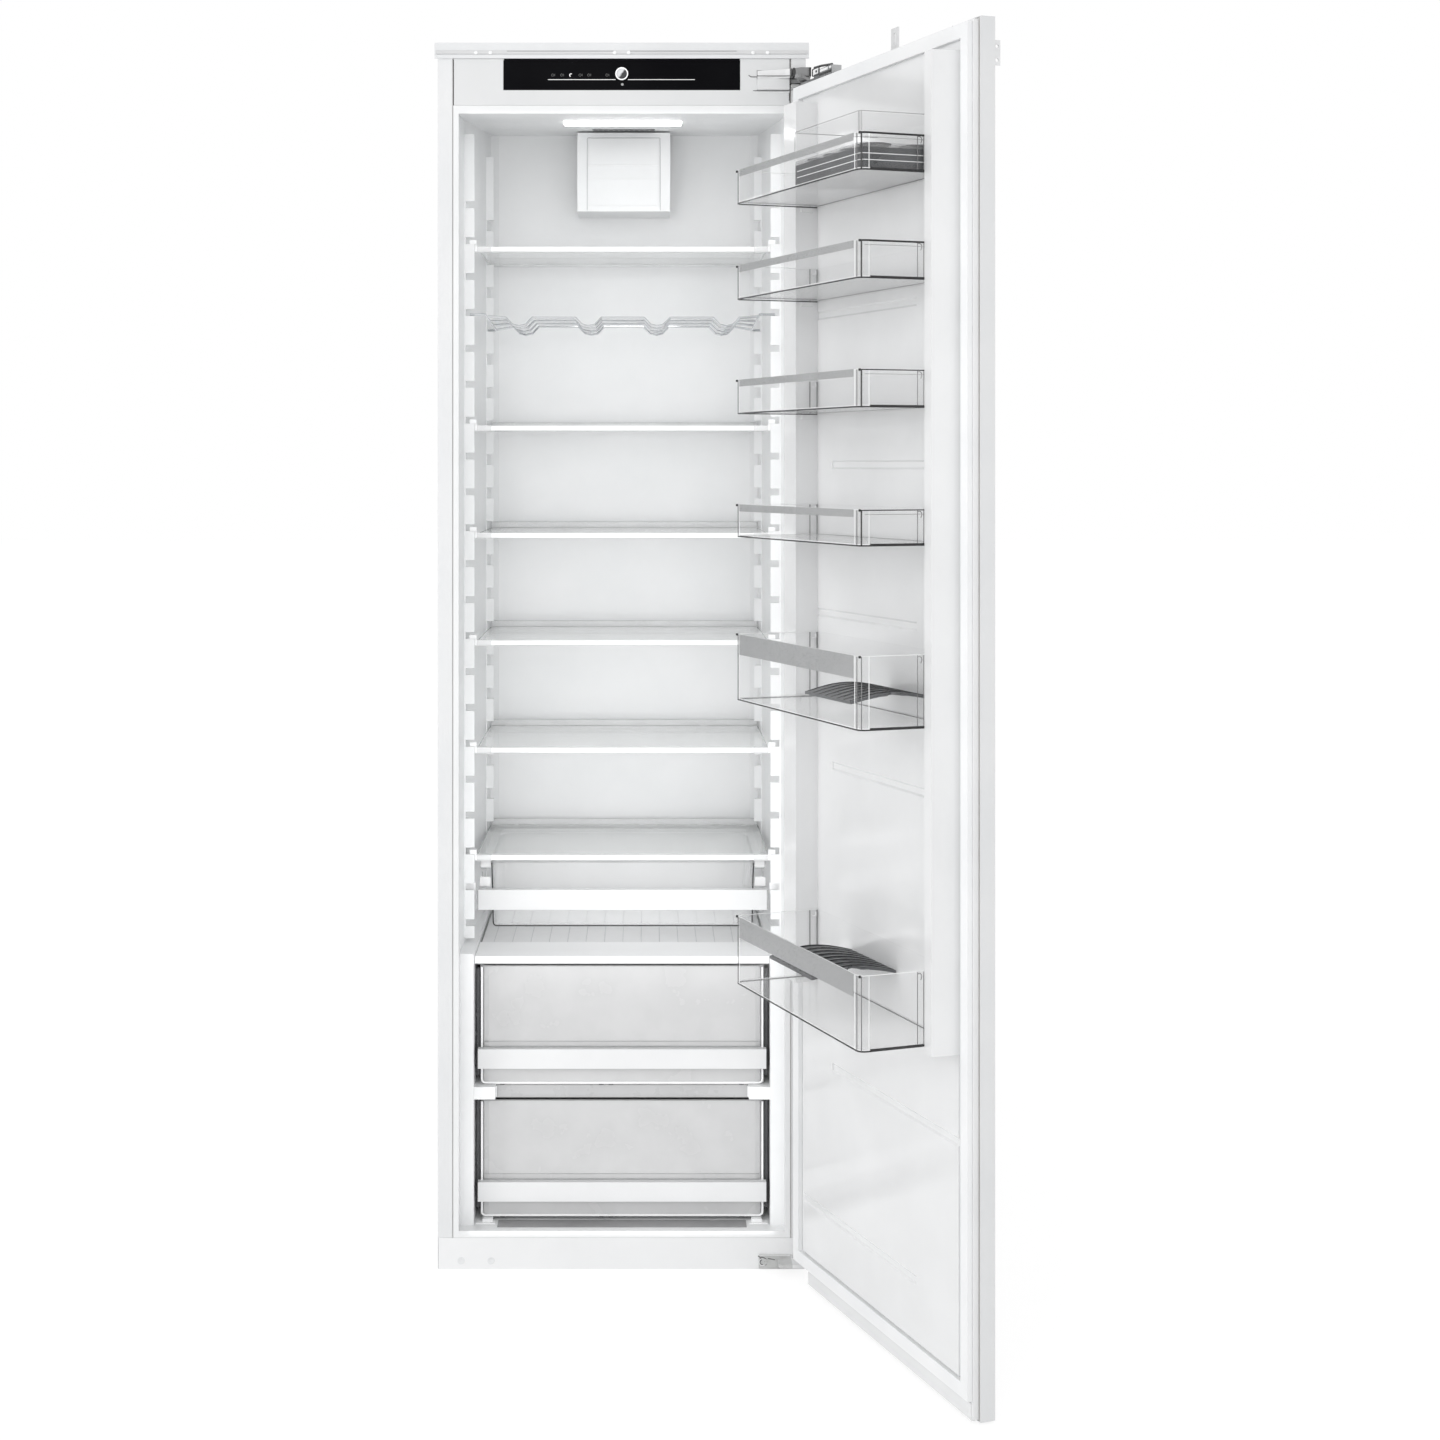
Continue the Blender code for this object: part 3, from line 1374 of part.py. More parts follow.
# Crisper cover and the two crisper drawers.
trim_rear = back(COVER_TRIM_FRONT + COVER_TRIM_LENGTH)
box(
    "crisper_cover_trim",
    (-COVER_TRIM_HALF, back(COVER_TRIM_FRONT), COVER_TRIM_FOOT),
    (COVER_TRIM_HALF, trim_rear, COVER_TRIM_FOOT + COVER_TRIM_HEIGHT),
    TRIM_WHITE,
)
cover_level = COVER_TRIM_FOOT + COVER_GLASS_RISE
box(
    "crisper_cover_glass",
    (-COVER_TRIM_HALF, trim_rear + SEAT, cover_level),
    (COVER_TRIM_HALF, back(COVER_GLASS_REAR), cover_level + COVER_GLASS),
    SHELF_CLEAR,
)
crisper_corners = (CRISPER_CORNER,) * 4
for label, foot, height, rear in (
    ("upper", UPPER_FOOT, UPPER_HEIGHT, UPPER_REAR),
    ("lower", LOWER_FOOT, LOWER_HEIGHT, LOWER_REAR),
):
    shell(
        "crisper_drawer_" + label,
        -CRISPER_HALF,
        CRISPER_HALF,
        back(CRISPER_FRONT),
        back(rear),
        foot,
        foot + height,
        CRISPER_WALL,
        crisper_corners,
        DRAWER,
    )
    grip(
        "crisper_handle_" + label,
        HANDLE_HALF,
        back(CRISPER_FRONT),
        foot + HANDLE_RISE,
        HANDLE_HEIGHT,
        HANDLE_DEPTH,
    )

# Compressor with its foot plate and stubs, drip tray and condenser.
pot_top = POT_FOOT + POT_HEIGHT
seam = POT_FOOT + POT_HEIGHT / 2
pot_centre = (POT_X, back(POT_DEPTH), 0)
compressor = turned(
    "compressor",
    [
        (0, pot_top),
        *[
            (POT_RADIUS * across, pot_top - POT_SHOULDER * down)
            for across, down in POT_CROWN_SHARES
        ],
        (POT_RADIUS, seam + POT_SEAM_HEIGHT / 2),
        (POT_RADIUS + POT_SEAM, seam + POT_SEAM_HEIGHT / 2),
        (POT_RADIUS + POT_SEAM, seam - POT_SEAM_HEIGHT / 2),
        (POT_RADIUS, seam - POT_SEAM_HEIGHT / 2),
        (POT_RADIUS, POT_FOOT + POT_SHOULDER),
        (POT_RADIUS * POT_BASE_SHARE, POT_FOOT + POT_PLATE),
        (POT_RADIUS * POT_BASE_SHARE, POT_FOOT),
        (0, POT_FOOT),
    ],
    "Z",
    pot_centre,
    BLACK,
    20,
)
feet = [
    box(
        "pot_plate",
        (POT_X - POT_PLATE_HALF, back(POT_DEPTH) - POT_PLATE_HALF, POT_FOOT - POT_PLATE),
        (POT_X + POT_PLATE_HALF, back(POT_DEPTH) + POT_PLATE_HALF, POT_FOOT + OVERLAP),
    )
]
for across in (-1, 1):
    for along in (-1, 1):
        feet.append(
            prism(
                "grommet_" + str(across) + str(along),
                [
                    circle(
                        POT_X + across * GROMMET_SPREAD,
                        back(POT_DEPTH) + along * GROMMET_SPREAD,
                        GROMMET_RADIUS,
                        10,
                    )
                ],
                "Z",
                BASE_SHEET + SEAT,
                POT_FOOT - POT_PLATE + OVERLAP,
            )
        )
for index, angle in enumerate(STUB_TURNS_DEG):
    heading = math.radians(angle)
    reach = POT_RADIUS - STUB_RADIUS
    end = reach + STUB_LENGTH
    level = seam + STUB_RISE * (index + 1)
    feet.append(
        wire(
            "stub_" + str(index),
            [
                (
                    POT_X + reach * math.cos(heading),
                    back(POT_DEPTH) + reach * math.sin(heading),
                    level,
                ),
                (
                    POT_X + end * math.cos(heading),
                    back(POT_DEPTH) + end * math.sin(heading),
                    level,
                ),
            ],
            STUB_RADIUS,
        )
    )
join(compressor, *feet)
drip_foot = pot_top + SEAT
shell(
    "drip_tray",
    POT_X - DRIP_HALF,
    POT_X + DRIP_HALF,
    back(POT_DEPTH) - DRIP_HALF,
    back(POT_DEPTH) + DRIP_HALF,
    drip_foot,
    drip_foot + DRIP_HEIGHT,
    DRIP_WALL,
    (DRIP_CORNER,) * 4,
    DARK,
)
coil_points = []
coil_depths = [
    NICHE_DEPTH + COIL_FRONT_GAP + COIL_LAYER_SPACING * layer for layer in range(COIL_LAYER_COUNT)
]
for layer, distance in enumerate(coil_depths):
    passes = range(COIL_PASSES)
    for turn in passes if layer % 2 == 0 else reversed(passes):
        level = COIL_FOOT + turn * COIL_SPACING
        ends = [COIL_LEFT, COIL_RIGHT]
        if (turn + layer) % 2:
            ends.reverse()
        coil_points += [(ends[0], back(distance), level), (ends[1], back(distance), level)]
condenser = wire("condenser", coil_points, COIL_RADIUS, BLACK)
frames = []
for index, spot in enumerate((COIL_LEFT + COIL_FRAME_INSET, COIL_RIGHT - COIL_FRAME_INSET)):
    frames.append(
        box(
            "coil_frame_" + str(index),
            (
                spot,
                back(coil_depths[0]) - COIL_FRAME_WIDTH / 2,
                BASE_SHEET + SEAT,
            ),
            (
                spot + COIL_FRAME,
                back(coil_depths[-1]) + COIL_FRAME_WIDTH / 2,
                COIL_FOOT + COIL_PASSES * COIL_SPACING,
            ),
        )
    )
combine(condenser, frames, "UNION", "MANIFOLD")

# Cabinet halves of the hinges.
hinge_base = prism(
    "hinge_upper_base",
    [
        [
            (ARM_INNER, back(ARM_DEPTH)),
            (ARM_INNER, FRONT - ARM_SHY),
            (ARM_NECK, FRONT - ARM_NECK_FORWARD),
            (ARM_OUTER - ARM_NOSE, FRONT - ARM_FORWARD),
            (ARM_OUTER, FRONT - ARM_FORWARD),
            (ARM_OUTER, FRONT - ARM_SHY),
            (FLANGE_HALF - ARM_SHY, FRONT - ARM_SHY),
            (FLANGE_HALF - ARM_SHY, back(ARM_DEPTH)),
        ]
    ],
    "Z",
    ARM_FOOT,
    ARM_FOOT + ARM_HEIGHT,
    STEEL,
)
join(
    hinge_base,
    prism(
        "upper_pin",
        [circle(PIVOT_X, PIVOT_Y, PIN_RADIUS)],
        "Z",
        DOOR_TOP + PIN_STANDOFF,
        ARM_FOOT + OVERLAP,
    ),
)
plate_face = FRONT - SEAT - LOWER_PLATE
lower_base = box(
    "hinge_lower_base",
    (LOWER_PLATE_INNER, plate_face, LOWER_PLATE_FOOT),
    (LOWER_PLATE_OUTER, FRONT - SEAT, LOWER_PLATE_TOP),
    STEEL,
)
arm_top = LOWER_ARM_FOOT + LOWER_ARM_HEIGHT
join(
    lower_base,
    prism(
        "lower_arm",
        [
            rounded(
                LOWER_ARM_INNER,
                PIVOT_X + LOWER_ARM_HALF_WIDTH,
                PIVOT_Y - LOWER_ARM_HALF_WIDTH,
                FRONT - SEAT - OVERLAP,
                (LOWER_ARM_CORNER, LOWER_ARM_CORNER, 0, 0),
            )
        ],
        "Z",
        LOWER_ARM_FOOT,
        arm_top,
    ),
    prism(
        "lower_pin",
        [circle(PIVOT_X, PIVOT_Y, PIN_RADIUS)],
        "Z",
        arm_top - OVERLAP,
        arm_top + LOWER_PIN_RISE,
    ),
    prism(
        "lower_screw",
        [circle(LOWER_SCREW_X, LOWER_ARM_FOOT, LOWER_SCREW_RADIUS)],
        "Y",
        plate_face - LOWER_SCREW_PROUD,
        plate_face + OVERLAP,
    ),
)
cut(
    lower_base,
    box(
        "lower_screw_slot",
        (
            LOWER_SCREW_X - LOWER_SCREW_RADIUS,
            plate_face - MARGIN,
            LOWER_ARM_FOOT - SCREW_SLOT / 2,
        ),
        (
            LOWER_SCREW_X + LOWER_SCREW_RADIUS,
            plate_face - LOWER_SCREW_PROUD / 2,
            LOWER_ARM_FOOT + SCREW_SLOT / 2,
        ),
    ),
)

# The door, closed; every piece of it is hung on the pivot at the end.
pan_front = FRONT - PAN_FRONT
pan_back = FRONT - PAN_BACK
border_face = FRONT - BORDER_FACE
door_parts = []


def door_outline(half, foot, top, notch_width, notch_top):
    """The door seen from the front, with a notch at the lower hinge corner."""
    return [
        (-half, foot),
        (half - notch_width, foot),
        (half - notch_width, notch_top),
        (half, notch_top),
        (half, top),
        (-half, top),
    ]


def bin_foot(share):
    """The level of a bin's underside, as a share of the dikes' height."""
    return DIKE_FOOT_LEVEL + (DIKE_TOP_LEVEL - DIKE_FOOT_LEVEL) * share


def nose(radius):
    """The rounded end of a plate about the pivot."""
    turns = [math.radians(turn) for turn in (-90, -45, 0, 45, 90)]
    return [(PIVOT_X + radius * math.cos(t), PIVOT_Y + radius * math.sin(t)) for t in turns]


def pan_outline(inset):
    return door_outline(
        DOOR_HALF - inset,
        DOOR_FOOT + inset,
        DOOR_TOP - inset,
        NOTCH_WIDTH,
        NOTCH_TOP + inset,
    )


def inner_form(name, shrink, rear, paint=None):
    """The inner face of the door: border, raised panel and the two dikes."""
    border = prism(
        name,
        [
            door_outline(
                DOOR_HALF - BORDER_INSET - shrink,
                BORDER_FOOT + shrink,
                DOOR_TOP - BORDER_TOP_DROP - shrink,
                NOTCH_WIDTH - BORDER_INSET,
                NOTCH_TOP + shrink,
            )
        ],
        "Y",
        rear,
        border_face - shrink,
        paint,
    )
    face = FRONT - PANEL_FACE - shrink
    raised = box(
        name + "_panel",
        (PANEL_INSET - DOOR_HALF + shrink, border_face - BORDER_FACE / 2, PANEL_FOOT + shrink),
        (DOOR_HALF - PANEL_INSET - shrink, face, OPENING_TOP - shrink),
    )
    grooves = []
    for share, sign in GROOVE_LEVEL_SHARES:
        level = OPENING_TOP * share
        mouth = GROOVE_HALF_MOUTH + shrink
        bed = GROOVE_HALF_BED + shrink
        profile = [
            (face + MARGIN, level - mouth),
            (face, level - mouth),
            (face - GROOVE_SINK, level - bed),
            (face - GROOVE_SINK, level + bed),
            (face, level + mouth),
            (face + MARGIN, level + mouth),
        ]
        blind = -GROOVE_END - shrink if sign > 0 else GROOVE_START + shrink
        start, end = sorted((blind, sign * DOOR_HALF))
        grooves.append(prism(name + "_groove" + str(len(grooves)), [profile], "X", start, end))
    cut(raised, *grooves)
    dikes = []
    for sign, foot, crest_out, crest_in, crest in (
        (-1, DIKE_FOOT_FREE, DIKE_CREST_OUT_FREE, DIKE_CREST_IN_FREE, DIKE_CREST_FREE),
        (1, DIKE_FOOT_HINGE, DIKE_CREST_OUT_HINGE, DIKE_CREST_IN_HINGE, DIKE_CREST_HINGE),
    ):
        outer_root = sign * (DOOR_HALF - foot - shrink)
        outer_crest = sign * (DOOR_HALF - crest_out - shrink)
        inner = sign * (DOOR_HALF - crest_in + shrink)
        root = border_face - BORDER_FACE / 2
        top = back(crest) - shrink
        dike = prism(
            name + "_dike" + str(sign),
            [[(outer_root, root), (outer_crest, top), (inner, top), (inner, root)]],
            "Z",
            DIKE_FOOT_LEVEL + shrink,
            DIKE_TOP_LEVEL - shrink,
        )
        dikes.append(dike)
    join(border, raised, *dikes)
    return border


pan = prism("door_pan", [pan_outline(0)], "Y", pan_front, pan_back, WHITE_PAINT)
cut(
    pan,
    prism("pan_inside", [pan_outline(PAN_SHEET)], "Y", pan_front + PAN_SHEET, FRONT + MARGIN),
)
tab_half = TAB_WIDTH / 2
tab_left = PIVOT_X - TAB_WIDTH
tab = prism(
    "pan_tab",
    [
        nose(tab_half) + [(tab_left, PIVOT_Y + tab_half), (tab_left, PIVOT_Y - tab_half)],
        circle(PIVOT_X, PIVOT_Y, PIN_RADIUS + EYE_CLEARANCE),
    ],
    "Z",
    NOTCH_TOP - TAB_THICKNESS,
    NOTCH_TOP,
)
tab_neck = box(
    "pan_tab_neck",
    (PIVOT_X - TAB_NECK, PIVOT_Y - tab_half, NOTCH_TOP - TAB_THICKNESS),
    (PIVOT_X - TAB_WIDTH / 2, PIVOT_Y + tab_half, NOTCH_TOP + PAN_SHEET / 2),
)
join(pan, tab, tab_neck)
door_parts.append(pan)

door_foam = prism(
    "door_foam",
    [pan_outline(PAN_SHEET + SEAT)],
    "Y",
    pan_front + PAN_SHEET + SEAT,
    pan_back - OVERLAP,
    FOAM,
)
join(door_foam, inner_form("foam_form", SKIN + SEAT, pan_back - BORDER_FACE / 2))
door_parts.append(door_foam)

door_liner = inner_form("door_liner", 0, pan_back + SEAT, LINER_WHITE)
cut(door_liner, inner_form("door_liner_hollow", SKIN, pan_back - MARGIN))
shelf_lugs = []
free_wall = DIKE_CREST_IN_FREE - DOOR_HALF
hinge_wall = DOOR_HALF - DIKE_CREST_IN_HINGE
for number, share in enumerate(BIN_LEVEL_SHARES, start=1):
    foot = bin_foot(share)
    for wall, rise in ((free_wall, LUG_RISE), (hinge_wall, -LUG_RISE)):
        near, far = sorted((wall - math.copysign(OVERLAP, rise), wall + rise))
        shelf_lugs.append(
            box(
                "bin_lug_" + str(number) + ("a" if rise > 0 else "b"),
                (near, back(LUG_START), foot - SEAT - LUG_DROP),
                (far, back(LUG_START + LUG_DEPTH), foot - SEAT),
            )
        )
join(door_liner, *shelf_lugs)
door_parts.append(door_liner)

gasket_half = DOOR_HALF - GASKET_INSET
gasket_top = DOOR_TOP - GASKET_TOP_DROP
gasket = prism(
    "door_gasket",
    [
        rectangle(-gasket_half, gasket_half, GASKET_FOOT, gasket_top),
        rectangle(
            GASKET_WIDTH - gasket_half,
            gasket_half - GASKET_WIDTH,
            GASKET_FOOT + GASKET_WIDTH,
            gasket_top - GASKET_WIDTH,
        ),
    ],
    "Y",
    border_face + SEAT,
    FRONT - GASKET_FACE,
    RUBBER,
)
door_parts.append(gasket)

bin_left = free_wall + BIN_FREE_GAP
bin_right = hinge_wall - BIN_HINGE_GAP
bin_rear = FRONT - BIN_REAR
bin_front = back(BIN_FRONT) - BIN_STRIP
bin_corners = (0, 0, BIN_CORNER, BIN_CORNER)
for number, (share, (height, strip)) in enumerate(zip(BIN_LEVEL_SHARES, BIN_SIZES), start=1):
    foot = bin_foot(share)
    top = foot + height
    holder = shell(
        "door_bin_" + str(number),
        bin_left,
        bin_right,
        bin_rear,
        bin_front,
        foot,
        top,
        BIN_WALL,
        bin_corners,
        CLEAR,
    )
    band = box(
        "bin_strip_" + str(number),
        (bin_left + BIN_STRIP_INSET, bin_front - OVERLAP, top - strip),
        (bin_right - BIN_STRIP_INSET, bin_front + BIN_STRIP, top - OVERLAP),
    )
    door_parts.append(join(holder, band))

# Egg tray with its clear lid in the top bin.
top_bin_foot = bin_foot(BIN_LEVEL_SHARES[0])
top_bin_top = top_bin_foot + BIN_SIZES[0][0]
egg_left = bin_left + BIN_WALL + EGG_WALL_GAP
egg_right = egg_left + EGG_LENGTH
tray_rear = bin_rear + BIN_WALL + EGG_WALL_GAP
tray_front = bin_front - BIN_WALL - EGG_WALL_GAP
tray_foot = top_bin_foot + BIN_WALL + SEAT
lid_top = top_bin_top + EGG_LID_RISE
deck = top_bin_top - EGG_DECK_DROP
egg_corner = BIN_CORNER - BIN_WALL
egg_outline = rounded(egg_left, egg_right, tray_rear, tray_front, (0, 0, 0, egg_corner))
eggs = prism("egg_tray", [egg_outline], "Z", tray_foot, deck, DARK)
egg_inner = rounded(
    egg_left + EGG_DECK,
    egg_right - EGG_DECK,
    tray_rear + EGG_DECK,
    tray_front - EGG_DECK,
    (0, 0, 0, egg_corner - EGG_DECK),
)
cup_pitch = (egg_right - egg_left) / EGG_COLUMNS
row_pitch = (tray_front - tray_rear) / EGG_ROWS
cups = [
    circle(
        egg_left + cup_pitch * (column + 0.5),
        tray_rear + row_pitch * (row + 0.5),
        EGG_HOLE_RADIUS,
    )
    for column in range(EGG_COLUMNS)
    for row in range(EGG_ROWS)
]
cut(eggs, prism("egg_hollow", [egg_inner], "Z", tray_foot - MARGIN, deck - EGG_DECK))
cut(
    eggs,
    *[
        prism("egg_cup_" + str(index), [cup], "Z", deck - EGG_DECK * 2, deck + MARGIN)
        for index, cup in enumerate(cups)
    ],
)
door_parts.append(eggs)
lid_outline = rounded(bin_left, egg_right, bin_rear, bin_front, (0, 0, 0, BIN_CORNER))
lid_inner = rounded(
    bin_left + EGG_LID_WALL,
    egg_right - EGG_LID_WALL,
    bin_rear + EGG_LID_WALL,
    bin_front - EGG_LID_WALL,
    (0, 0, 0, BIN_CORNER - EGG_LID_WALL),
)
lid = prism("egg_cover", [lid_outline], "Z", top_bin_top + SEAT, lid_top, CLEAR)
cut(lid, prism("lid_hollow", [lid_inner], "Z", deck, lid_top - EGG_LID_WALL))
door_parts.append(lid)

# Ribbed bottle holders that bridge the two deep bins from wall to wall.
holder_rear = bin_rear + BIN_WALL + SEAT
holder_front = bin_front - BIN_WALL - SEAT
for index, inset, length, rise in INSERT_PLACES:
    left = bin_left + inset
    seat = bin_foot(BIN_LEVEL_SHARES[index]) + rise
    arc = []
    for step in range(INSERT_ARC_COUNT + 1):
        share = step / INSERT_ARC_COUNT
        arc.append(
            (
                holder_rear + (holder_front - holder_rear) * share,
                seat + INSERT_DOME * math.sin(math.pi * share),
            )
        )
    under = [(y, z - INSERT_WALL) for y, z in reversed(arc)]
    name = "bin_insert_" + str(index + 1)
    insert = prism(name, [arc + under], "X", left, left + length, DARK)
    spacing = length / INSERT_SLOT_COUNT
    slots = []
    for slot in range(INSERT_SLOT_COUNT - 1):
        centre = left + spacing * (slot + 1)
        slots.append(
            box(
                name + "_slot_" + str(slot),
                (centre - INSERT_SLOT / 2, holder_rear + INSERT_SLOT_END, seat - MARGIN),
                (centre + INSERT_SLOT / 2, holder_front - INSERT_SLOT_END, seat + MARGIN),
            )
        )
    scallop = circle(left, (holder_rear + holder_front) / 2, INSERT_DOME, 8)
    slots.append(prism(name + "_scallop", [scallop], "Z", seat - MARGIN, seat + MARGIN))
    door_parts.append(cut(insert, *slots))

# Upper hinge plate with its frame, and the link between it and the cabinet.
plate_foot = DOOR_TOP + UPPER_PLATE_GAP
plate_top = plate_foot + UPPER_PLATE
eye = EYE_RADIUS
plate_left = PIVOT_X - UPPER_PLATE_REACH
upper_plate = prism(
    "hinge_upper_plate",
    [
        nose(eye) + [(plate_left, PIVOT_Y + eye), (plate_left, PIVOT_Y - eye)],
        circle(PIVOT_X, PIVOT_Y, PIN_RADIUS + EYE_CLEARANCE),
    ],
    "Z",
    plate_foot,
    plate_top,
    STEEL,
)
frame_right = PIVOT_X - UPPER_FRAME_START
join(
    upper_plate,
    prism(
        "upper_frame",
        [
            rectangle(plate_left, frame_right, PIVOT_Y - eye, PIVOT_Y + eye),
            rectangle(
                plate_left + UPPER_FRAME_WALL,
                frame_right - UPPER_FRAME_WALL,
                PIVOT_Y - eye + UPPER_FRAME_WALL,
                PIVOT_Y + eye - UPPER_FRAME_WALL,
            ),
        ],
        "Z",
        plate_top - OVERLAP,
        plate_foot + UPPER_FRAME_RISE,
    ),
)
door_parts.append(upper_plate)

# Brackets for the furniture door.
bracket_foot = DOOR_TOP + SEAT
bracket_face = pan_front + OVERLAP
bracket = box(
    "door_top_bracket",
    (-BRACKET_HALF, bracket_face, bracket_foot),
    (BRACKET_HALF, bracket_face + BRACKET_FOOT_LENGTH, bracket_foot + BRACKET_SHEET),
    STEEL,
)
join(
    bracket,
    box(
        "bracket_upright",
        (-BRACKET_HALF, bracket_face, bracket_foot + OVERLAP),
        (BRACKET_HALF, bracket_face + BRACKET_SHEET, DOOR_TOP + BRACKET_HEIGHT),
    ),
)
slot_foot = bracket_foot + BRACKET_SLOT_FOOT
cut(
    bracket,
    box(
        "bracket_slot",
        (-BRACKET_SLOT_HALF, bracket_face - MARGIN, slot_foot),
        (BRACKET_SLOT_HALF, bracket_face + MARGIN, slot_foot + BRACKET_SLOT_LENGTH),
    ),
)
door_parts.append(bracket)
side_left = SIDE_BRACKET_INSET - DOOR_HALF
side_face = pan_front - SEAT
side_bracket = prism(
    "door_side_bracket",
    [
        [
            (side_left, side_face),
            (side_left, side_face - SIDE_BRACKET_PROUD),
            (side_left + SIDE_BRACKET_SHEET, side_face - SIDE_BRACKET_PROUD),
            (side_left + SIDE_BRACKET_SHEET, side_face - SIDE_BRACKET_SHEET),
            (side_left + SIDE_BRACKET_WIDTH, side_face - SIDE_BRACKET_SHEET),
            (side_left + SIDE_BRACKET_WIDTH, side_face),
        ]
    ],
    "Z",
    SIDE_BRACKET_FOOT,
    SIDE_BRACKET_FOOT + SIDE_BRACKET_HEIGHT,
    STEEL,
)
first_hole = SIDE_BRACKET_FOOT + SIDE_HOLE_RISE
hole_levels = (first_hole, first_hole + SIDE_HOLE_PITCH)
hole_y = side_face - SIDE_BRACKET_PROUD / 2
cut(
    side_bracket,
    *[
        prism(
            "side_hole_" + str(index),
            [circle(hole_y, level, SIDE_HOLE_RADIUS, 8)],
            "X",
            side_left - MARGIN,
            side_left + SIDE_BRACKET_SHEET + OVERLAP,
        )
        for index, level in enumerate(hole_levels)
    ],
)
door_parts.append(side_bracket)

# The link turns about the same pin at half the door's angle.
link_tip = (PIVOT_X + LINK_LENGTH, PIVOT_Y)
link_outline = [
    (PIVOT_X + eye * math.cos(math.radians(turn)), PIVOT_Y + eye * math.sin(math.radians(turn)))
    for turn in range(60, 301, 30)
]
link_outline += [
    (
        link_tip[0] + LINK_HALF_WIDTH * math.cos(math.radians(turn)),
        link_tip[1] + LINK_HALF_WIDTH * math.sin(math.radians(turn)),
    )
    for turn in (-90, -45, 0, 45, 90)
]
link = prism(
    "hinge_upper_link",
    [link_outline, circle(PIVOT_X, PIVOT_Y, PIN_RADIUS + EYE_CLEARANCE)],
    "Z",
    LINK_FOOT,
    LINK_FOOT + LINK_HEIGHT,
    CHROME,
)
link_rest = math.radians(LINK_CLOSED_DEG + DOOR_OPEN_DEG / 2)


def hang(part, origin, angle):
    """Puts a part on its pivot and turns it there."""
    part.data.transform(Matrix.Translation(-Vector(origin)))
    part.location = origin
    part.rotation_euler = (0, 0, angle)


pivot = (PIVOT_X, PIVOT_Y, 0)
for part in door_parts:
    hang(part, pivot, math.radians(DOOR_OPEN_DEG))
hang(link, (PIVOT_X, PIVOT_Y, LINK_FOOT), link_rest)
for part in PARTS.objects:
    for face in part.data.polygons:
        face.material_index = 0
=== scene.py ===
"""Looks of the column refrigerator: finishes, fine shapes, light and camera."""

import math

import bmesh
import bpy
from mathutils import Matrix, Vector


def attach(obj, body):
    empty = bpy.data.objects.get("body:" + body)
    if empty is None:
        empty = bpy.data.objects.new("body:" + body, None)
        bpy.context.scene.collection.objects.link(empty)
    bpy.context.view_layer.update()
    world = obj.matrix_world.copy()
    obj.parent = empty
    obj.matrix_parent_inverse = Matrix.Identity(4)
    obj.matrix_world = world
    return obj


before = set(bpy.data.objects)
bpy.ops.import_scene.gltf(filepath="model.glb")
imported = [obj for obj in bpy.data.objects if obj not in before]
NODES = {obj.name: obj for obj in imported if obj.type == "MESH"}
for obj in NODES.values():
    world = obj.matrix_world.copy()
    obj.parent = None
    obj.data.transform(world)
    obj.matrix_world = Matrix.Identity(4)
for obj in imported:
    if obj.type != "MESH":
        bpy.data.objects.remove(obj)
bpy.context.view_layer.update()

# In metres: the plane of the cabinet's front, the door's pin, and the angle at which it is open.
FRONT = -0.255
PIVOT = Vector((0.2635, -0.2774, 0.0))
OPEN = math.radians(110.3)
SWING = Matrix.Translation(PIVOT) @ Matrix.Rotation(OPEN, 4, "Z") @ Matrix.Translation(-PIVOT)

# Levels and places that finishes draw at, in metres.
KNOB_LEVEL = 1.7272
TRAY_LIP = 1.5496
FADE = 0.0003
BEADS = ((0.12, 0.012, 0.004), (0.20, 0.010, 0.003))
BEAD_FOOT, BEAD_TOP, BEAD_END = 0.26, 1.72, 0.02
SCREW_PITCH, SCREW_ASIDE = 0.15, 0.256


class Wire:
    """A shader socket that can be used in sums."""

    def __init__(self, tree, socket):
        self.tree = tree
        self.socket = socket

    def math(self, operation, *values):
        node = self.tree.nodes.new("ShaderNodeMath")
        node.operation = operation
        for slot, value in zip(node.inputs, values):
            put(self.tree, slot, value)
        return Wire(self.tree, node.outputs[0])

    def __add__(self, other):
        return self.math("ADD", self, other)

    def __sub__(self, other):
        return self.math("SUBTRACT", self, other)

    def __rsub__(self, other):
        return self.math("SUBTRACT", other, self)

    def __mul__(self, other):
        return self.math("MULTIPLY", self, other)

    def __truediv__(self, other):
        return self.math("DIVIDE", self, other)

    def __pow__(self, other):
        return self.math("POWER", self, other)

    def absolute(self):
        return self.math("ABSOLUTE", self)

    def lowest(self, other):
        return self.math("MINIMUM", self, other)

    def highest(self, other):
        return self.math("MAXIMUM", self, other)

    def clamped(self):
        return self.lowest(1.0).highest(0.0)

    def ramp(self, low, high):
        """0 at low, 1 at high, straight between."""
        return ((self - low) * (1.0 / (high - low))).clamped()

    def spread(self):
        """Noise over 0 to 1; most of it lies between 0.3 and 0.7."""
        return self.ramp(0.3, 0.7)

    def past(self, level, fade=FADE):
        """0 up to the level, then 1 within the fade; a fade below zero turns it round."""
        return (self - level).ramp(0.0, fade)

    def between(self, low, high):
        """From low to high while this goes from 0 to 1."""
        return self * (high - low) + low


def put(tree, slot, value):
    """Sets an input to a socket, a colour or a number."""
    if isinstance(value, Wire):
        tree.links.new(value.socket, slot)
    elif isinstance(value, tuple) and len(value) == 3 and slot.type == "RGBA":
        slot.default_value = (*value, 1.0)
    else:
        slot.default_value = value


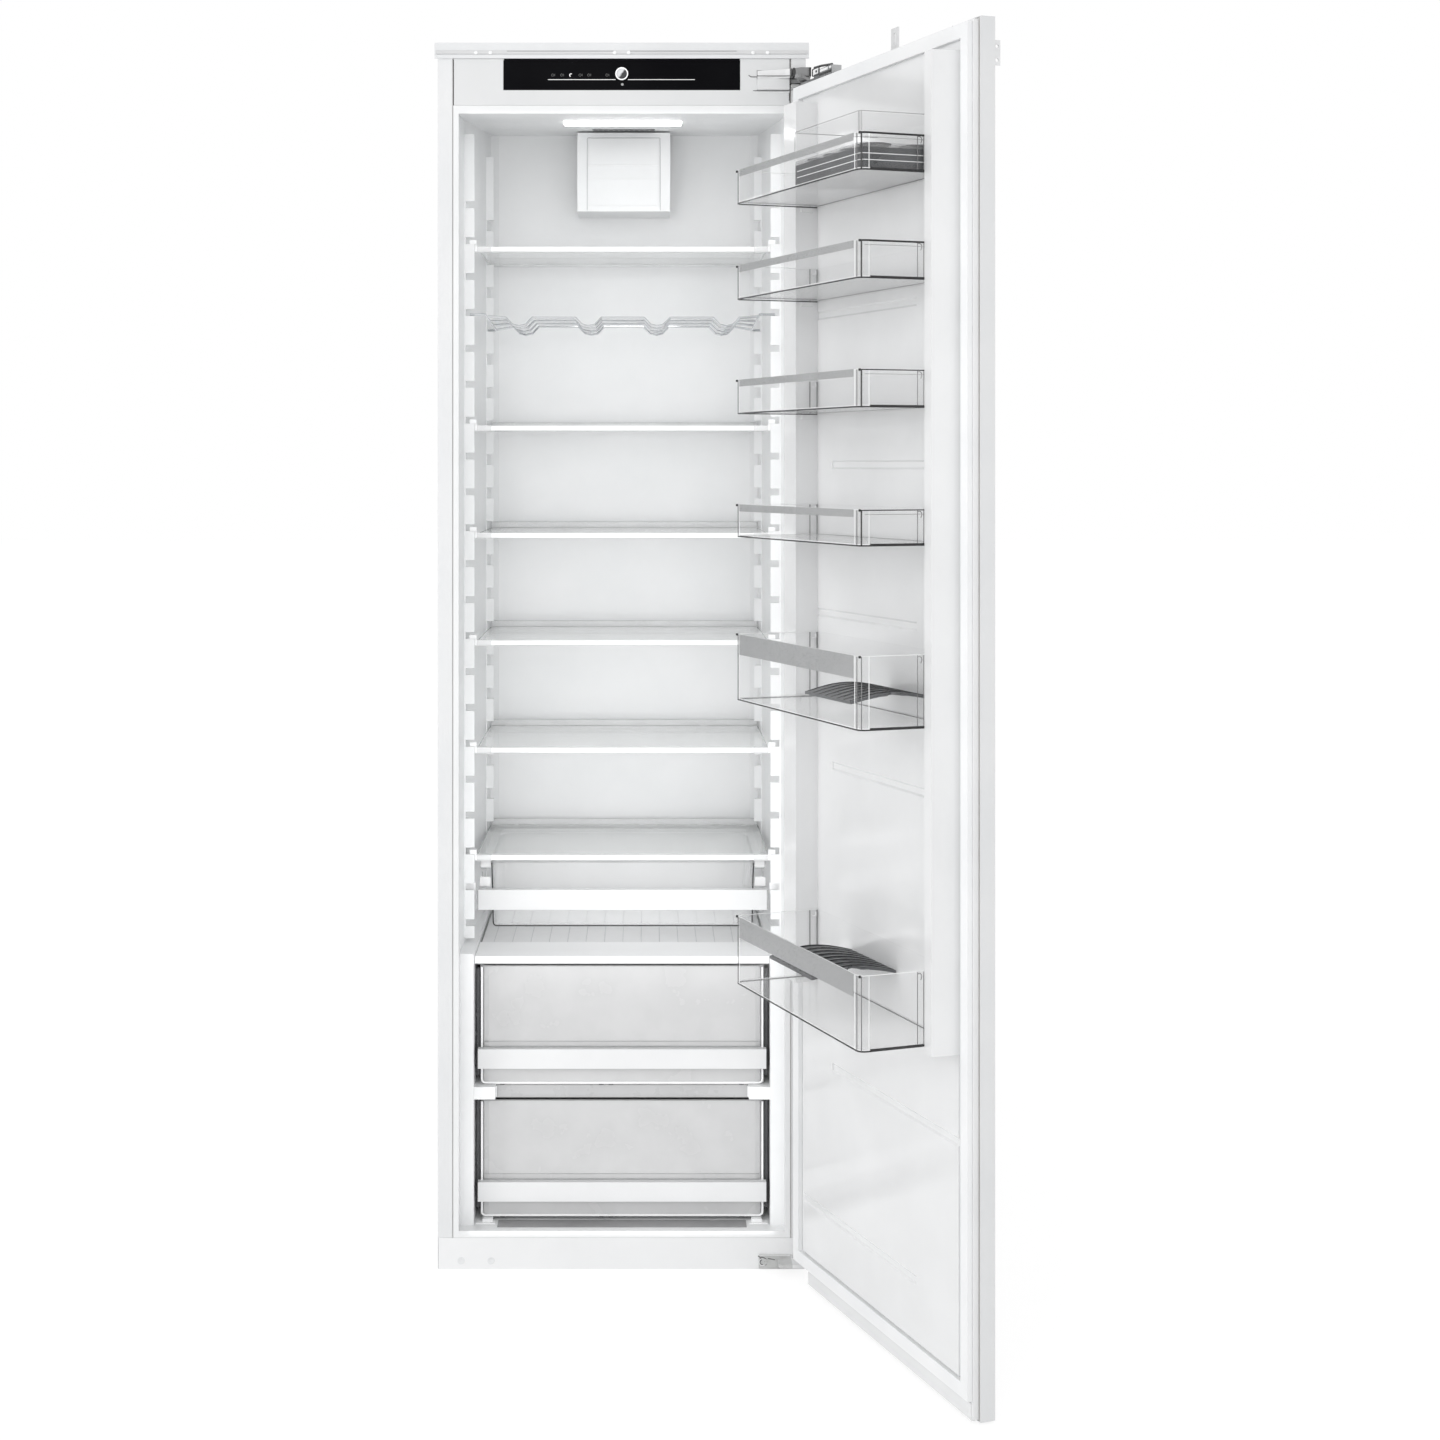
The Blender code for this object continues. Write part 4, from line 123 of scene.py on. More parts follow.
def make(tree, kind, output=0, **inputs):
    """Any shader node, with its inputs named by words joined with underscores."""
    node = tree.nodes.new("ShaderNode" + kind)
    for name, value in inputs.items():
        put(tree, node.inputs[name.replace("_", " ")], value)
    return Wire(tree, node.outputs[output])


def place(tree):
    """The object's own coordinates."""
    return make(tree, "TexCoord", 3)


def axes(tree):
    """Across, along and up, in the piece's own metres."""
    node = tree.nodes.new("ShaderNodeSeparateXYZ")
    put(tree, node.inputs[0], place(tree))
    return [Wire(tree, out) for out in node.outputs]


def noise(tree, scale, detail=3.0, stretch=None):
    """Cloudy noise over the piece's own metres, one cell about 1 / scale across."""
    where = place(tree)
    if stretch:
        where = make(tree, "Mapping", Vector=where, Scale=stretch)
    return make(tree, "TexNoise", Vector=where, Scale=scale, Detail=detail)


def blend(tree, share, low, high):
    """A colour between two, by share."""
    node = tree.nodes.new("ShaderNodeMix")
    node.data_type = "RGBA"
    put(tree, node.inputs[0], share)
    put(tree, node.inputs[6], low)
    put(tree, node.inputs[7], high)
    return Wire(tree, node.outputs[2])


def bump(tree, height, distance, strength=1.0):
    return make(tree, "Bump", Height=height, Distance=distance, Strength=strength)


def finish(name, varied, **constants):
    """A Principled material; varied(tree) gives the sockets that change over the surface."""
    made = bpy.data.materials.new(name)
    made.use_nodes = True
    tree = made.node_tree
    shader = tree.nodes["Principled BSDF"]
    for key, value in constants.items():
        put(tree, shader.inputs[key.replace("_", " ")], value)
    for key, value in varied(tree).items():
        put(tree, shader.inputs[key], value)
    return made


def satin(low, high, grain=900.0, depth=0.00004, rough=(0.32, 0.44), patch=9.0):
    """Paint or moulded plastic: the colour drifts a little, with a fine skin on top."""

    def varied(tree):
        drift = noise(tree, patch, 4.0)
        skin = noise(tree, grain, 2.0)
        scuff = noise(tree, 60.0, 5.0)
        return {
            "Base Color": blend(tree, drift.spread(), low, high),
            "Roughness": scuff.spread().between(*rough),
            "Normal": bump(tree, skin, depth),
        }

    return varied


def brushed(low, high, along, rough=(0.24, 0.40)):
    """Metal brushed along one axis: 0, 1 or 2."""

    def varied(tree):
        stretch = tuple(3.0 if axis == along else 900.0 for axis in range(3))
        lines = noise(tree, 1.0, 3.0, stretch)
        drift = noise(tree, 14.0, 2.0)
        return {
            "Base Color": blend(tree, (lines * 0.6 + drift * 0.4).spread(), low, high),
            "Roughness": lines.spread().between(*rough),
            "Normal": bump(tree, lines, 0.00002, 0.6),
        }

    return varied


def clear(colour, thin, thick, rough=(0.04, 0.10), power=2.5):
    """Clear plastic or glass: denser where it is seen edge on."""

    def varied(tree):
        facing = make(tree, "LayerWeight", 1, Blend=0.5)
        smear = noise(tree, 22.0, 4.0)
        tint = tuple(part * 0.95 for part in colour)
        return {
            "Base Color": blend(tree, smear.ramp(0.35, 0.65), colour, tint),
            "Alpha": (facing**power).between(thin, thick).clamped(),
            "Roughness": smear.spread().between(*rough),
        }

    return varied


def ringed(tree):
    """The knob's face: a bright ring round a dark dish with a soft painted highlight."""
    across, _, up = axes(tree)
    up = up - KNOB_LEVEL
    radius = (across * across + up * up) ** 0.5
    ring = radius.past(0.0074) * radius.past(0.0094, -FADE)
    body = radius.past(0.0091)
    skin = noise(tree, 900.0, 2.0)
    # Painted highlight: a reflection painted across the upper left of the dish.
    glint = (across * -1.0 + up * 0.8 + noise(tree, 260.0) * 0.004).ramp(0.001, 0.004)
    dish = blend(tree, glint, (0.012, 0.012, 0.014), (0.75, 0.76, 0.78))
    face = blend(tree, body, dish, (0.02, 0.02, 0.022))
    return {
        "Base Color": blend(tree, ring, face, (0.90, 0.90, 0.91)),
        "Emission Color": blend(tree, ring, (0.0, 0.0, 0.0), (0.5, 0.5, 0.5)),
        "Roughness": skin * 0.1 + 0.25,
    }


def pressed(tree):
    """Back sheet: shallow pressed beads and a row of sunk screws down each side, their sockets
    painted dark as shade.
    """
    across, _, up = axes(tree)
    aside = across.absolute()
    inner, outer = [(aside - x).absolute().ramp(foot, top) for x, foot, top in BEADS]
    beads = (inner + outer).clamped() * up.past(BEAD_FOOT, BEAD_END)
    beads = beads * (BEAD_TOP - up).ramp(0.0, BEAD_END)
    step = up.math("FRACT", up / SCREW_PITCH) - 0.5
    radius = ((aside - SCREW_ASIDE) ** 2.0 + (step * SCREW_PITCH) ** 2.0) ** 0.5
    head = radius.ramp(0.0040, 0.0034)
    socket = radius.ramp(0.0016, 0.0012)
    drift = noise(tree, 9.0, 4.0)
    sheet_colour = blend(tree, drift.spread(), (0.36, 0.37, 0.38), (0.44, 0.45, 0.46))
    # Each screw's socket is painted near black: painted shade in the recess.
    screw_colour = blend(tree, socket, (0.62, 0.63, 0.64), (0.05, 0.05, 0.05))
    relief = beads * 0.6 + head * 0.3 - socket * 0.3
    return {
        "Base Color": blend(tree, head, sheet_colour, screw_colour),
        "Roughness": noise(tree, 60.0, 5.0) * 0.2 + 0.3,
        "Normal": bump(tree, relief + noise(tree, 300.0) * 0.02, 0.004),
    }


def hinge_cover(tree):
    """White cap beside the fascia, then black gaps of painted shade and a grey block out to the
    pivot.
    """
    across = axes(tree)[0]
    metal = across.past(0.2418)
    # The gap and the slot are painted black as shade between the parts; past the rim the cover is
    # black too.
    gap = (across - 0.2427).absolute().ramp(0.0010, 0.0008)
    slot = (across - 0.2468).absolute().ramp(0.0012, 0.0010)
    rim = across.past(0.2690)
    drift = noise(tree, 60.0, 4.0)
    block = blend(tree, drift.spread(), (0.22, 0.222, 0.225), (0.30, 0.302, 0.305))
    dark = gap.highest(slot).highest(rim)
    plain = blend(tree, metal, (0.78, 0.785, 0.79), block)
    return {
        "Base Color": blend(tree, dark, plain, (0.015, 0.015, 0.016)),
        "Roughness": drift * 0.15 + 0.30,
        "Normal": bump(tree, noise(tree, 700.0, 2.0) - dark * 4.0, 0.00006),
    }


def hinge_foot(tree):
    """Zinc plate on the plinth, with a white cap over the pivot arm."""
    cap = axes(tree)[0].past(0.2446)
    drift = noise(tree, 60.0, 4.0)
    zinc = blend(tree, drift.spread(), (0.50, 0.505, 0.50), (0.62, 0.625, 0.62))
    return {
        "Base Color": blend(tree, cap, zinc, (0.80, 0.805, 0.81)),
        "Roughness": drift * 0.15 + 0.30,
        "Normal": bump(tree, noise(tree, 500.0, 2.0), 0.00004),
    }


def smoky(tree):
    """Egg tray: dark below its lip, a see-through collar above."""
    body = (axes(tree)[2] - TRAY_LIP).ramp(0.0004, -0.0004)
    drift = noise(tree, 30.0, 4.0)
    dark = blend(tree, drift.spread(), (0.045, 0.047, 0.050), (0.085, 0.088, 0.092))
    return {
        "Base Color": blend(tree, body, (0.42, 0.425, 0.43), dark),
        "Alpha": body * 0.75 + 0.25,
        "Roughness": drift * 0.15 + 0.22,
        "Normal": bump(tree, noise(tree, 900.0, 2.0), 0.00005),
    }


def cast(tree):
    """Rough painted casting."""
    skin = noise(tree, 260.0, 4.0)
    drift = noise(tree, 12.0, 3.0)
    return {
        "Base Color": blend(tree, drift.spread(), (0.012, 0.012, 0.013), (0.03, 0.03, 0.032)),
        "Roughness": skin.spread() * 0.2 + 0.35,
        "Normal": bump(tree, skin, 0.0003),
    }


WHITE = finish("white_paint", satin((0.76, 0.77, 0.78), (0.80, 0.805, 0.81)))
# The cabinet's white paint made darker for the door: painted shade on the door.
DOOR_WHITE_SHADED = finish("door_paint_shaded", satin((0.72, 0.73, 0.74), (0.76, 0.765, 0.77)))
PLINTH = finish("plinth_paint", satin((0.85, 0.855, 0.86), (0.88, 0.885, 0.89)))
LINER = finish("liner_plastic", satin((0.83, 0.84, 0.845), (0.87, 0.875, 0.88), 500.0, 0.00003))
DOOR_LINER = finish(
    "door_liner_plastic",
    satin((0.78, 0.785, 0.79), (0.82, 0.825, 0.83), 500.0, 0.00003, (0.12, 0.22)),
    Coat_Weight=0.4,
    Coat_Roughness=0.08,
)
GREY_SHEET = finish("grey_sheet", pressed)
FOAM = finish(
    "foam_body", satin((0.56, 0.555, 0.545), (0.64, 0.635, 0.62), 400.0, 0.0004, (0.8, 0.95))
)
TRIM = finish("top_trim_white", satin((0.74, 0.75, 0.76), (0.80, 0.81, 0.82), 1200.0))
FASCIA = finish("fascia_plastic", satin((0.71, 0.72, 0.725), (0.75, 0.755, 0.76), 1300.0))
SHELF_EDGE = finish("shelf_edge_white", satin((0.91, 0.915, 0.92), (0.94, 0.945, 0.95)))
HANDLE = finish("handle_plastic", satin((0.64, 0.645, 0.65), (0.67, 0.675, 0.68)))
CHROME = finish(
    "chrome", brushed((0.62, 0.63, 0.65), (0.80, 0.81, 0.83), 0, (0.06, 0.14)), Metallic=1.0
)
STEEL = finish(
    "hinge_steel",
    satin((0.32, 0.325, 0.33), (0.46, 0.465, 0.47), 500.0, 0.00005, (0.22, 0.38), 60.0),
    Metallic=1.0,
)
HINGE_COVER = finish("hinge_cover", hinge_cover)
HINGE_FOOT = finish("hinge_foot", hinge_foot)
PALE_STEEL = finish(
    "bracket_zinc",
    satin((0.70, 0.705, 0.71), (0.80, 0.805, 0.81), 500.0, 0.00005, (0.3, 0.45), 60.0),
    Metallic=0.6,
)
BRUSHED = finish(
    "strip_brushed", brushed((0.36, 0.364, 0.368), (0.43, 0.434, 0.438), 0), Metallic=0.35
)
INSERT = finish(
    "insert_plastic", satin((0.075, 0.078, 0.082), (0.11, 0.114, 0.118), 900.0, 0.00006)
)
DARK = finish("dark_plastic", satin((0.035, 0.037, 0.040), (0.065, 0.068, 0.072), 900.0, 0.00006))
BLACK_PAINT = finish("black_casting", cast)
SEAM = finish("dark_seam", satin((0.03, 0.03, 0.032), (0.07, 0.07, 0.072)))
GREY_SEAM_AND_SHADE = finish("grey_seams_and_painted_shade", satin((0.30, 0.305, 0.31), (0.40, 0.405, 0.41)))
RUBBER = finish(
    "gasket_rubber", satin((0.82, 0.83, 0.84), (0.87, 0.875, 0.88), 700.0, 0.00005, (0.55, 0.7))
)
CLEAR = finish("bin_plastic", clear((0.84, 0.845, 0.85), 0.015, 0.20, power=5.0))
GLASS = finish("shelf_glass", clear((0.94, 0.955, 0.95), 0.10, 0.50))
FROST = finish("drawer_plastic", clear((0.62, 0.622, 0.626), 0.80, 0.95, (0.18, 0.3)))
TRAY = finish("tray_plastic", clear((0.86, 0.865, 0.87), 0.12, 0.50, (0.08, 0.16)))
CAP = finish("cap_plastic", clear((0.90, 0.905, 0.91), 0.70, 0.95, (0.2, 0.3)))
BLACK_GLASS = finish(
    "display_glass",
    satin((0.004, 0.004, 0.005), (0.007, 0.007, 0.008), 60.0, 0.000002, (0.22, 0.30)),
    Specular_IOR_Level=0.005,
)
KNOB = finish("knob_metal", ringed, Emission_Strength=0.5)
LIT = finish(
    "light_lens",
    satin((0.95, 0.96, 0.97), (0.97, 0.98, 0.98), 900.0),
    Emission_Color=(1.0, 1.0, 1.0),
    Emission_Strength=7.0,
)
MARK = finish(
    "display_mark",
    satin((0.80, 0.80, 0.80), (0.9, 0.9, 0.9)),
    Emission_Color=(1.0, 1.0, 1.0),
    Emission_Strength=0.35,
)
TRIM_GROOVE_SHADE = finish("trim_groove_painted_shade", satin((0.64, 0.645, 0.65), (0.70, 0.705, 0.71), 1200.0))
HINGE_GREY = finish("hinge_block_grey", satin((0.25, 0.252, 0.255), (0.31, 0.312, 0.315), 900.0))
HINGE_PALE = finish(
    "hinge_foot_grey",
    satin((0.42, 0.425, 0.42), (0.54, 0.545, 0.54), 500.0, 0.00005, (0.25, 0.4), 60.0),
)
FAINT = finish("display_faint", satin((0.09, 0.09, 0.09), (0.13, 0.13, 0.13)))
# The next four edge colours also paint shade and highlights along the edges of clear plastic.
BLACK_AND_SHADE = finish(
    "black_parts_and_painted_shade", satin((0.012, 0.012, 0.013), (0.025, 0.025, 0.026), rough=(0.15, 0.25))
)
DARK_SEAM_AND_SHADE = finish("dark_seams_and_painted_shade", satin((0.13, 0.13, 0.132), (0.22, 0.22, 0.222), rough=(0.12, 0.22)))
GREY_EDGE_SHADE = finish("painted_grey_edge_shade", satin((0.34, 0.34, 0.345), (0.44, 0.44, 0.445), rough=(0.12, 0.22)))
PALE_AND_HIGHLIGHT = finish("pale_parts_and_painted_highlight", satin((0.84, 0.845, 0.85), (0.90, 0.905, 0.91), rough=(0.1, 0.2)))
BIN_FLOOR = finish("bin_floor", clear((0.80, 0.803, 0.806), 0.60, 0.75))
DEEP_FLOOR = finish("deep_bin_floor", clear((0.84, 0.843, 0.846), 0.06, 0.24))
GLASS_EDGE = finish("glass_edge", satin((0.42, 0.45, 0.44), (0.55, 0.58, 0.57), rough=(0.1, 0.2)))
GREY_FILM = finish(
    "grey_film", satin((0.42, 0.422, 0.426), (0.48, 0.482, 0.486), rough=(0.25, 0.35))
)
PALE_FILM = finish(
    "pale_film", satin((0.76, 0.762, 0.766), (0.81, 0.812, 0.816), 300.0, 0.000004, (0.3, 0.4))
)
RIB_SHADE = finish(
    "insert_rib_painted_shade", satin((0.012, 0.012, 0.014), (0.02, 0.02, 0.022), rough=(0.2, 0.35))
)
VENT_SHADE = finish("vent_painted_shade", satin((0.06, 0.06, 0.062), (0.10, 0.10, 0.104)))
SEAM_PALE = finish("seam_pale", satin((0.52, 0.53, 0.54), (0.60, 0.61, 0.62)))
FLOOR_SHADOW = finish("painted_floor_shadow", satin((0.26, 0.26, 0.265), (0.34, 0.34, 0.345)))
SMOKY = finish("egg_tray_plastic", smoky)
COPPER = finish(
    "copper_pipe", brushed((0.42, 0.20, 0.12), (0.60, 0.31, 0.19), 2, (0.2, 0.35)), Metallic=1.0
)

# The finish of every solid of the frame; shelves, their trims and bins follow by number.
COATS = {
    "casing_wrap": WHITE,
    "back_panel": GREY_SHEET,
    "base_plinth": PLINTH,
    "insulation_foam": FOAM,
    "liner": LINER,
    "top_trim": TRIM,
    "control_fascia": FASCIA,
    "display_glass": BLACK_GLASS,
    "control_knob": KNOB,
    "light_lens": LIT,
    "fan_housing": LINER,
    "fan_cover": LINER,
    "fan_motor": BLACK_PAINT,
    "fan_rotor": FASCIA,
    "bottle_rack": CHROME,
    "drawer_hanger": FASCIA,
    "shallow_drawer": TRAY,
    "shallow_drawer_handle": HANDLE,
    "crisper_cover_trim": SHELF_EDGE,
    "crisper_cover_glass": GLASS,
    "crisper_drawer_upper": FROST,
    "crisper_handle_upper": HANDLE,
    "crisper_drawer_lower": FROST,
    "crisper_handle_lower": HANDLE,
    "compressor": BLACK_PAINT,
    "drip_tray": DARK,
    "condenser": BLACK_PAINT,
    "hinge_upper_base": HINGE_COVER,
    "hinge_lower_base": HINGE_FOOT,
    "hinge_upper_link": HINGE_GREY,
    "hinge_upper_plate": STEEL,
    "door_pan": DOOR_WHITE_SHADED,
    "door_foam": FOAM,
    "door_liner": DOOR_LINER,
    "door_gasket": RUBBER,
    "egg_tray": SMOKY,
    "egg_cover": CLEAR,
    "bin_insert_5": INSERT,
    "bin_insert_6": INSERT,
    "door_top_bracket": PALE_STEEL,
    "door_side_bracket": PALE_STEEL,
}
for number in range(1, 7):
    COATS["shelf_glass_%d" % number] = GLASS
    COATS["shelf_front_trim_%d" % number] = SHELF_EDGE
    COATS["door_bin_%d" % number] = CLEAR
for name, coat in COATS.items():
    for slot in NODES[name].material_slots:
        slot.material = coat

# Ways to build the fine pieces. From here to the lamps, sizes are in millimetres, and pieces of the
# door are placed as on a shut door.
MM = 0.001
ROUND_STEPS = 5


def linked(name, data):
    """A new object in the scene."""
    made = bpy.data.objects.new(name, data)
    bpy.context.scene.collection.objects.link(made)
    return made


def evaluated(holder):
    """The mesh that the holder shows; the holder itself goes."""
    bpy.context.view_layer.update()
    graph = bpy.context.evaluated_depsgraph_get()
    mesh = bpy.data.meshes.new_from_object(holder.evaluated_get(graph))
    bpy.data.objects.remove(holder)
    return mesh


def shaded(mesh, angle):
    """The mesh, smooth where its faces meet at less than the angle."""
    mesh.polygons.foreach_set("use_smooth", [True] * len(mesh.polygons))
    mesh.set_sharp_from_angle(angle=math.radians(angle))
    return mesh


def settle(name, mesh, body, coat):
    """A finished piece: millimetres to metres, turned with the open door, riding its body."""
    mesh.transform(Matrix.Scale(MM, 4))
    if body == "door":
        mesh.transform(SWING)
    mesh.name = name
    mesh.materials.clear()
    mesh.materials.append(coat)
    made = linked(name, mesh)
    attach(made, body)


def mesh_of(form, angle):
    """The bmesh as a shaded mesh."""
    bmesh.ops.recalc_face_normals(form, faces=form.faces)
    mesh = bpy.data.meshes.new("piece")
    form.to_mesh(mesh)
    form.free()
    return shaded(mesh, angle)


def bars(spans, edge):
    """Bars with soft edges; each span is (x0, x1, y0, y1, z0, z1)."""
    form = bmesh.new()
    for x0, x1, y0, y1, z0, z1 in spans:
        size = Matrix.Diagonal((x1 - x0, y1 - y0, z1 - z0, 1.0))
        middle = Matrix.Translation(((x0 + x1) / 2, (y0 + y1) / 2, (z0 + z1) / 2))
        bmesh.ops.create_cube(form, size=1.0, matrix=middle @ size)
    bmesh.ops.bevel(form, geom=list(form.edges), offset=edge, segments=2, affect="EDGES")
    return mesh_of(form, 40.0)


def rounded(corners, radius):
    """A run of points whose inner corners are rounded off."""
    corners = [Vector(corner) for corner in corners]
    found = [corners[0]]
    for before, here, after in zip(corners, corners[1:], corners[2:]):
        start = here + (before - here).normalized() * radius
        stop = here + (after - here).normalized() * radius
        for step in range(ROUND_STEPS + 1):
            share = step / ROUND_STEPS
            found.append(start.lerp(here, share).lerp(here.lerp(stop, share), share))
    return found + [corners[-1]]


def wires(paths, radius, sides=8):
    """Round wires along runs of points."""
    curve = bpy.data.curves.new("wire", "CURVE")
    curve.dimensions = "3D"
    curve.bevel_depth = radius
    curve.bevel_resolution = sides // 4 - 1
    curve.use_fill_caps = True
    for path in paths:
        spline = curve.splines.new("POLY")
        spline.points.add(len(path) - 1)
        for point, where in zip(spline.points, path):
            point.co = (*where, 1.0)
    mesh = evaluated(linked("wire", curve))
    bpy.data.curves.remove(curve)
    return shaded(mesh, 50.0)


def turned(profile, count=24, axis="Z"):
    """A body of revolution about Z from (radius, height) points, laid along Y if asked."""
    form = bmesh.new()
    rings = []
    for radius, height in profile:
        ring = []
        for step in range(count):
            angle = math.tau * step / count
            around = (radius * math.cos(angle), radius * math.sin(angle), height)
            ring.append(form.verts.new(around))
        rings.append(ring)
    for low, high in zip(rings, rings[1:]):
        for step in range(count):
            after = (step + 1) % count
            form.faces.new((low[step], low[after], high[after], high[step]))
    form.faces.new(rings[0][::-1])
    form.faces.new(rings[-1])
    if axis == "Y":
        bmesh.ops.rotate(form, verts=form.verts, matrix=Matrix.Rotation(math.radians(90), 3, "X"))
    return mesh_of(form, 35.0)


def repeater():
    """Geometry nodes that set one piece at each point, turned by the point's own angles."""
    made = bpy.data.node_groups.new("repeat_piece", "GeometryNodeTree")
    for name, kind in (("Places", "Geometry"), ("Piece", "Object"), ("Finish", "Material")):
        made.interface.new_socket(name, in_out="INPUT", socket_type="NodeSocket" + kind)
    made.interface.new_socket("Repeated", in_out="OUTPUT", socket_type="NodeSocketGeometry")
    kinds = (
        "NodeGroupInput",
        "GeometryNodeObjectInfo",
        "GeometryNodeInputNamedAttribute",
        "FunctionNodeEulerToRotation",
    )
    given, piece, turn, spin = [made.nodes.new(kind) for kind in kinds]
    kinds = (
        "GeometryNodeInstanceOnPoints",
        "GeometryNodeRealizeInstances",
        "GeometryNodeSetMaterial",
        "NodeGroupOutput",
    )
    copies, real, painted, result = [made.nodes.new(kind) for kind in kinds]
    turn.data_type = "FLOAT_VECTOR"
    turn.inputs["Name"].default_value = "turn"
    for source, target in (
        (given.outputs["Places"], copies.inputs["Points"]),
        (given.outputs["Piece"], piece.inputs["Object"]),
        (piece.outputs["Geometry"], copies.inputs["Instance"]),
        (turn.outputs["Attribute"], spin.inputs[0]),
        (spin.outputs[0], copies.inputs["Rotation"]),
        (copies.outputs[0], real.inputs[0]),
        (real.outputs[0], painted.inputs["Geometry"]),
        (given.outputs["Finish"], painted.inputs["Material"]),
        (painted.outputs[0], result.inputs[0]),
    ):
        made.links.new(source, target)
    return made


REPEATER = repeater()


def repeat(name, piece, places, body, coat):
    """Copies of a piece as one mesh, at places (x, y, z) or (x, y, z, degrees about X)."""
    base = linked("piece", piece)
    points = bpy.data.meshes.new("places")
    points.from_pydata([spot[:3] for spot in places], [], [])
    angles = points.attributes.new("turn", "FLOAT_VECTOR", "POINT")
    for index, spot in enumerate(places):
        angles.data[index].vector = (math.radians(sum(spot[3:])), 0, 0)
    holder = linked("places", points)
    modifier = holder.modifiers.new("repeat", "NODES")
    modifier.node_group = REPEATER
    given = {"Piece": base, "Finish": coat}
    for item in REPEATER.interface.items_tree:
        if item.name in given:
            modifier[item.identifier] = given[item.name]
    mesh = evaluated(holder)
    bpy.data.objects.remove(base)
    settle(name, mesh, body, coat)


def screw_head(radius, height):
    """A pan head with a socket in it, pointing along +Z."""
    head = ((1, 0), (1, 0.35), (0.82, 0.85), (0.55, 1), (0.42, 1), (0.34, 0.45), (0.05, 0.4))
    return turned([(radius * out, height * up) for out, up in head], 16)


# Door bins: brushed bands, floors, and dark and light lines along the clear walls' edges, which are
# painted shade and painted highlights.
# All bins share their sides; each has its foot, its top and the height of its band. The first
# four are small, the other two deep.
LEFT, RIGHT, REAR, FACE = -208.0, 180.2, -258.7, -134.8
SMALL = 4
BINS = (
    (1520.5, 1567.0, 9.5),
    (1389.0, 1436.0, 9.5),
    (1232.0, 1279.0, 9.5),
    (1063.0, 1108.0, 9.5),
    (839.0, 930.0, 28.0),
    (449.0, 542.0, 28.0),
)
CORNER = 11.0


def bin_run(level, out=0.0):
    """The way round a bin at a height, from its rear hinge side to its rear free side."""
    corners = (
        (RIGHT + out, REAR + 1.0, level),
        (RIGHT + out, FACE + out, level),
        (LEFT - out, FACE + out, level),
        (LEFT - out, REAR + 1.0, level),
    )
    return rounded(corners, CORNER)


def upright(x, y, foot, top):
    """A run straight up."""
    return [(x, y, foot), (x, y, top)]


bands = []
black = []
dark = []
light = []
floors = []
ends = []
rear_lines = []
for foot, top, band in BINS:
    bands.append((LEFT + 15.2, RIGHT - 15.2, FACE + 0.75, FACE + 1.35, top - band, top - 0.15))
    black.append(bin_run(foot + 0.8, 0.1))
    dark.append([(LEFT + 4, REAR + 0.9, foot + 2.6), (RIGHT - 4, REAR + 0.9, foot + 2.6)])
    # Uprights of painted shade where the corner rounds start and end, and at the rear.
    for x, y in (
        (LEFT + 7.5, FACE + 0.1),
        (LEFT + 1.6, FACE - 3.2),
        (LEFT - 0.1, REAR + 12.0),
        (LEFT - 0.1, REAR + 1.4),
    ):
        dark.append(upright(x, y, foot + 1.2, top - 1.0))
    for x, y in ((RIGHT - 8.0, FACE + 0.1), (RIGHT + 0.1, REAR + 12.0), (RIGHT, REAR + 1.2)):
        dark.append(upright(x, y, foot + 1.2, top - 1.0))
    # Uprights of painted highlight, and painted highlights round the foot and under the top.
    for x, y in (
        (LEFT + 13.4, FACE + 0.1),
        (LEFT, FACE - 12.6),
        (LEFT, REAR + 7.0),
        (RIGHT - 13.0, FACE),
    ):
        light.append(upright(x, y, foot + 1.6, top - 0.6))
    light.append(bin_run(foot + 2.6, 0.0))
    light.append(bin_run(top - 0.4, -0.7))
    floors.append((LEFT + 3.0, RIGHT - 3.0, REAR + 3.2, FACE - 3.0, foot + 2.4, foot + 2.9))
    # Painted shade along the free end's foot, and in lines and a hook up the rear of the end wall.
    ends.append([(LEFT - 0.1, FACE - 14.0, foot + 2.0), (LEFT - 0.1, -222.0, foot + 2.0)])
    rear_lines.append(upright(LEFT - 0.2, -213.1, foot + 3.0, top - 1.0))
    rear_lines.append(upright(LEFT - 0.2, -221.6, foot + 3.0, top - 1.0))
    hook = ((-213.6, 3.0), (-217.0, 2.4), (-219.4, 6.0), (-217.6, 11.0))
    rear_lines.append(rounded([(LEFT - 0.2, y, top - drop) for y, drop in hook], 2.0))
settle("bin_end_rims", wires(ends, 1.5), "door", BLACK_AND_SHADE)
settle("bin_rear_lines", wires(rear_lines, 0.5), "door", DARK_SEAM_AND_SHADE)
settle("bin_bands", bars(bands, 0.2), "door", BRUSHED)
settle("bin_bottom_lines", wires(black, 0.95), "door", BLACK_AND_SHADE)
settle("bin_edge_lines", wires(dark, 0.62), "door", DARK_SEAM_AND_SHADE)
settle("bin_edge_glints", wires(light, 0.5), "door", PALE_AND_HIGHLIGHT)
settle("bin_floors", bars(floors[:SMALL], 0.2), "door", BIN_FLOOR)
settle("deep_bin_floors", bars(floors[SMALL:], 0.2), "door", DEEP_FLOOR)

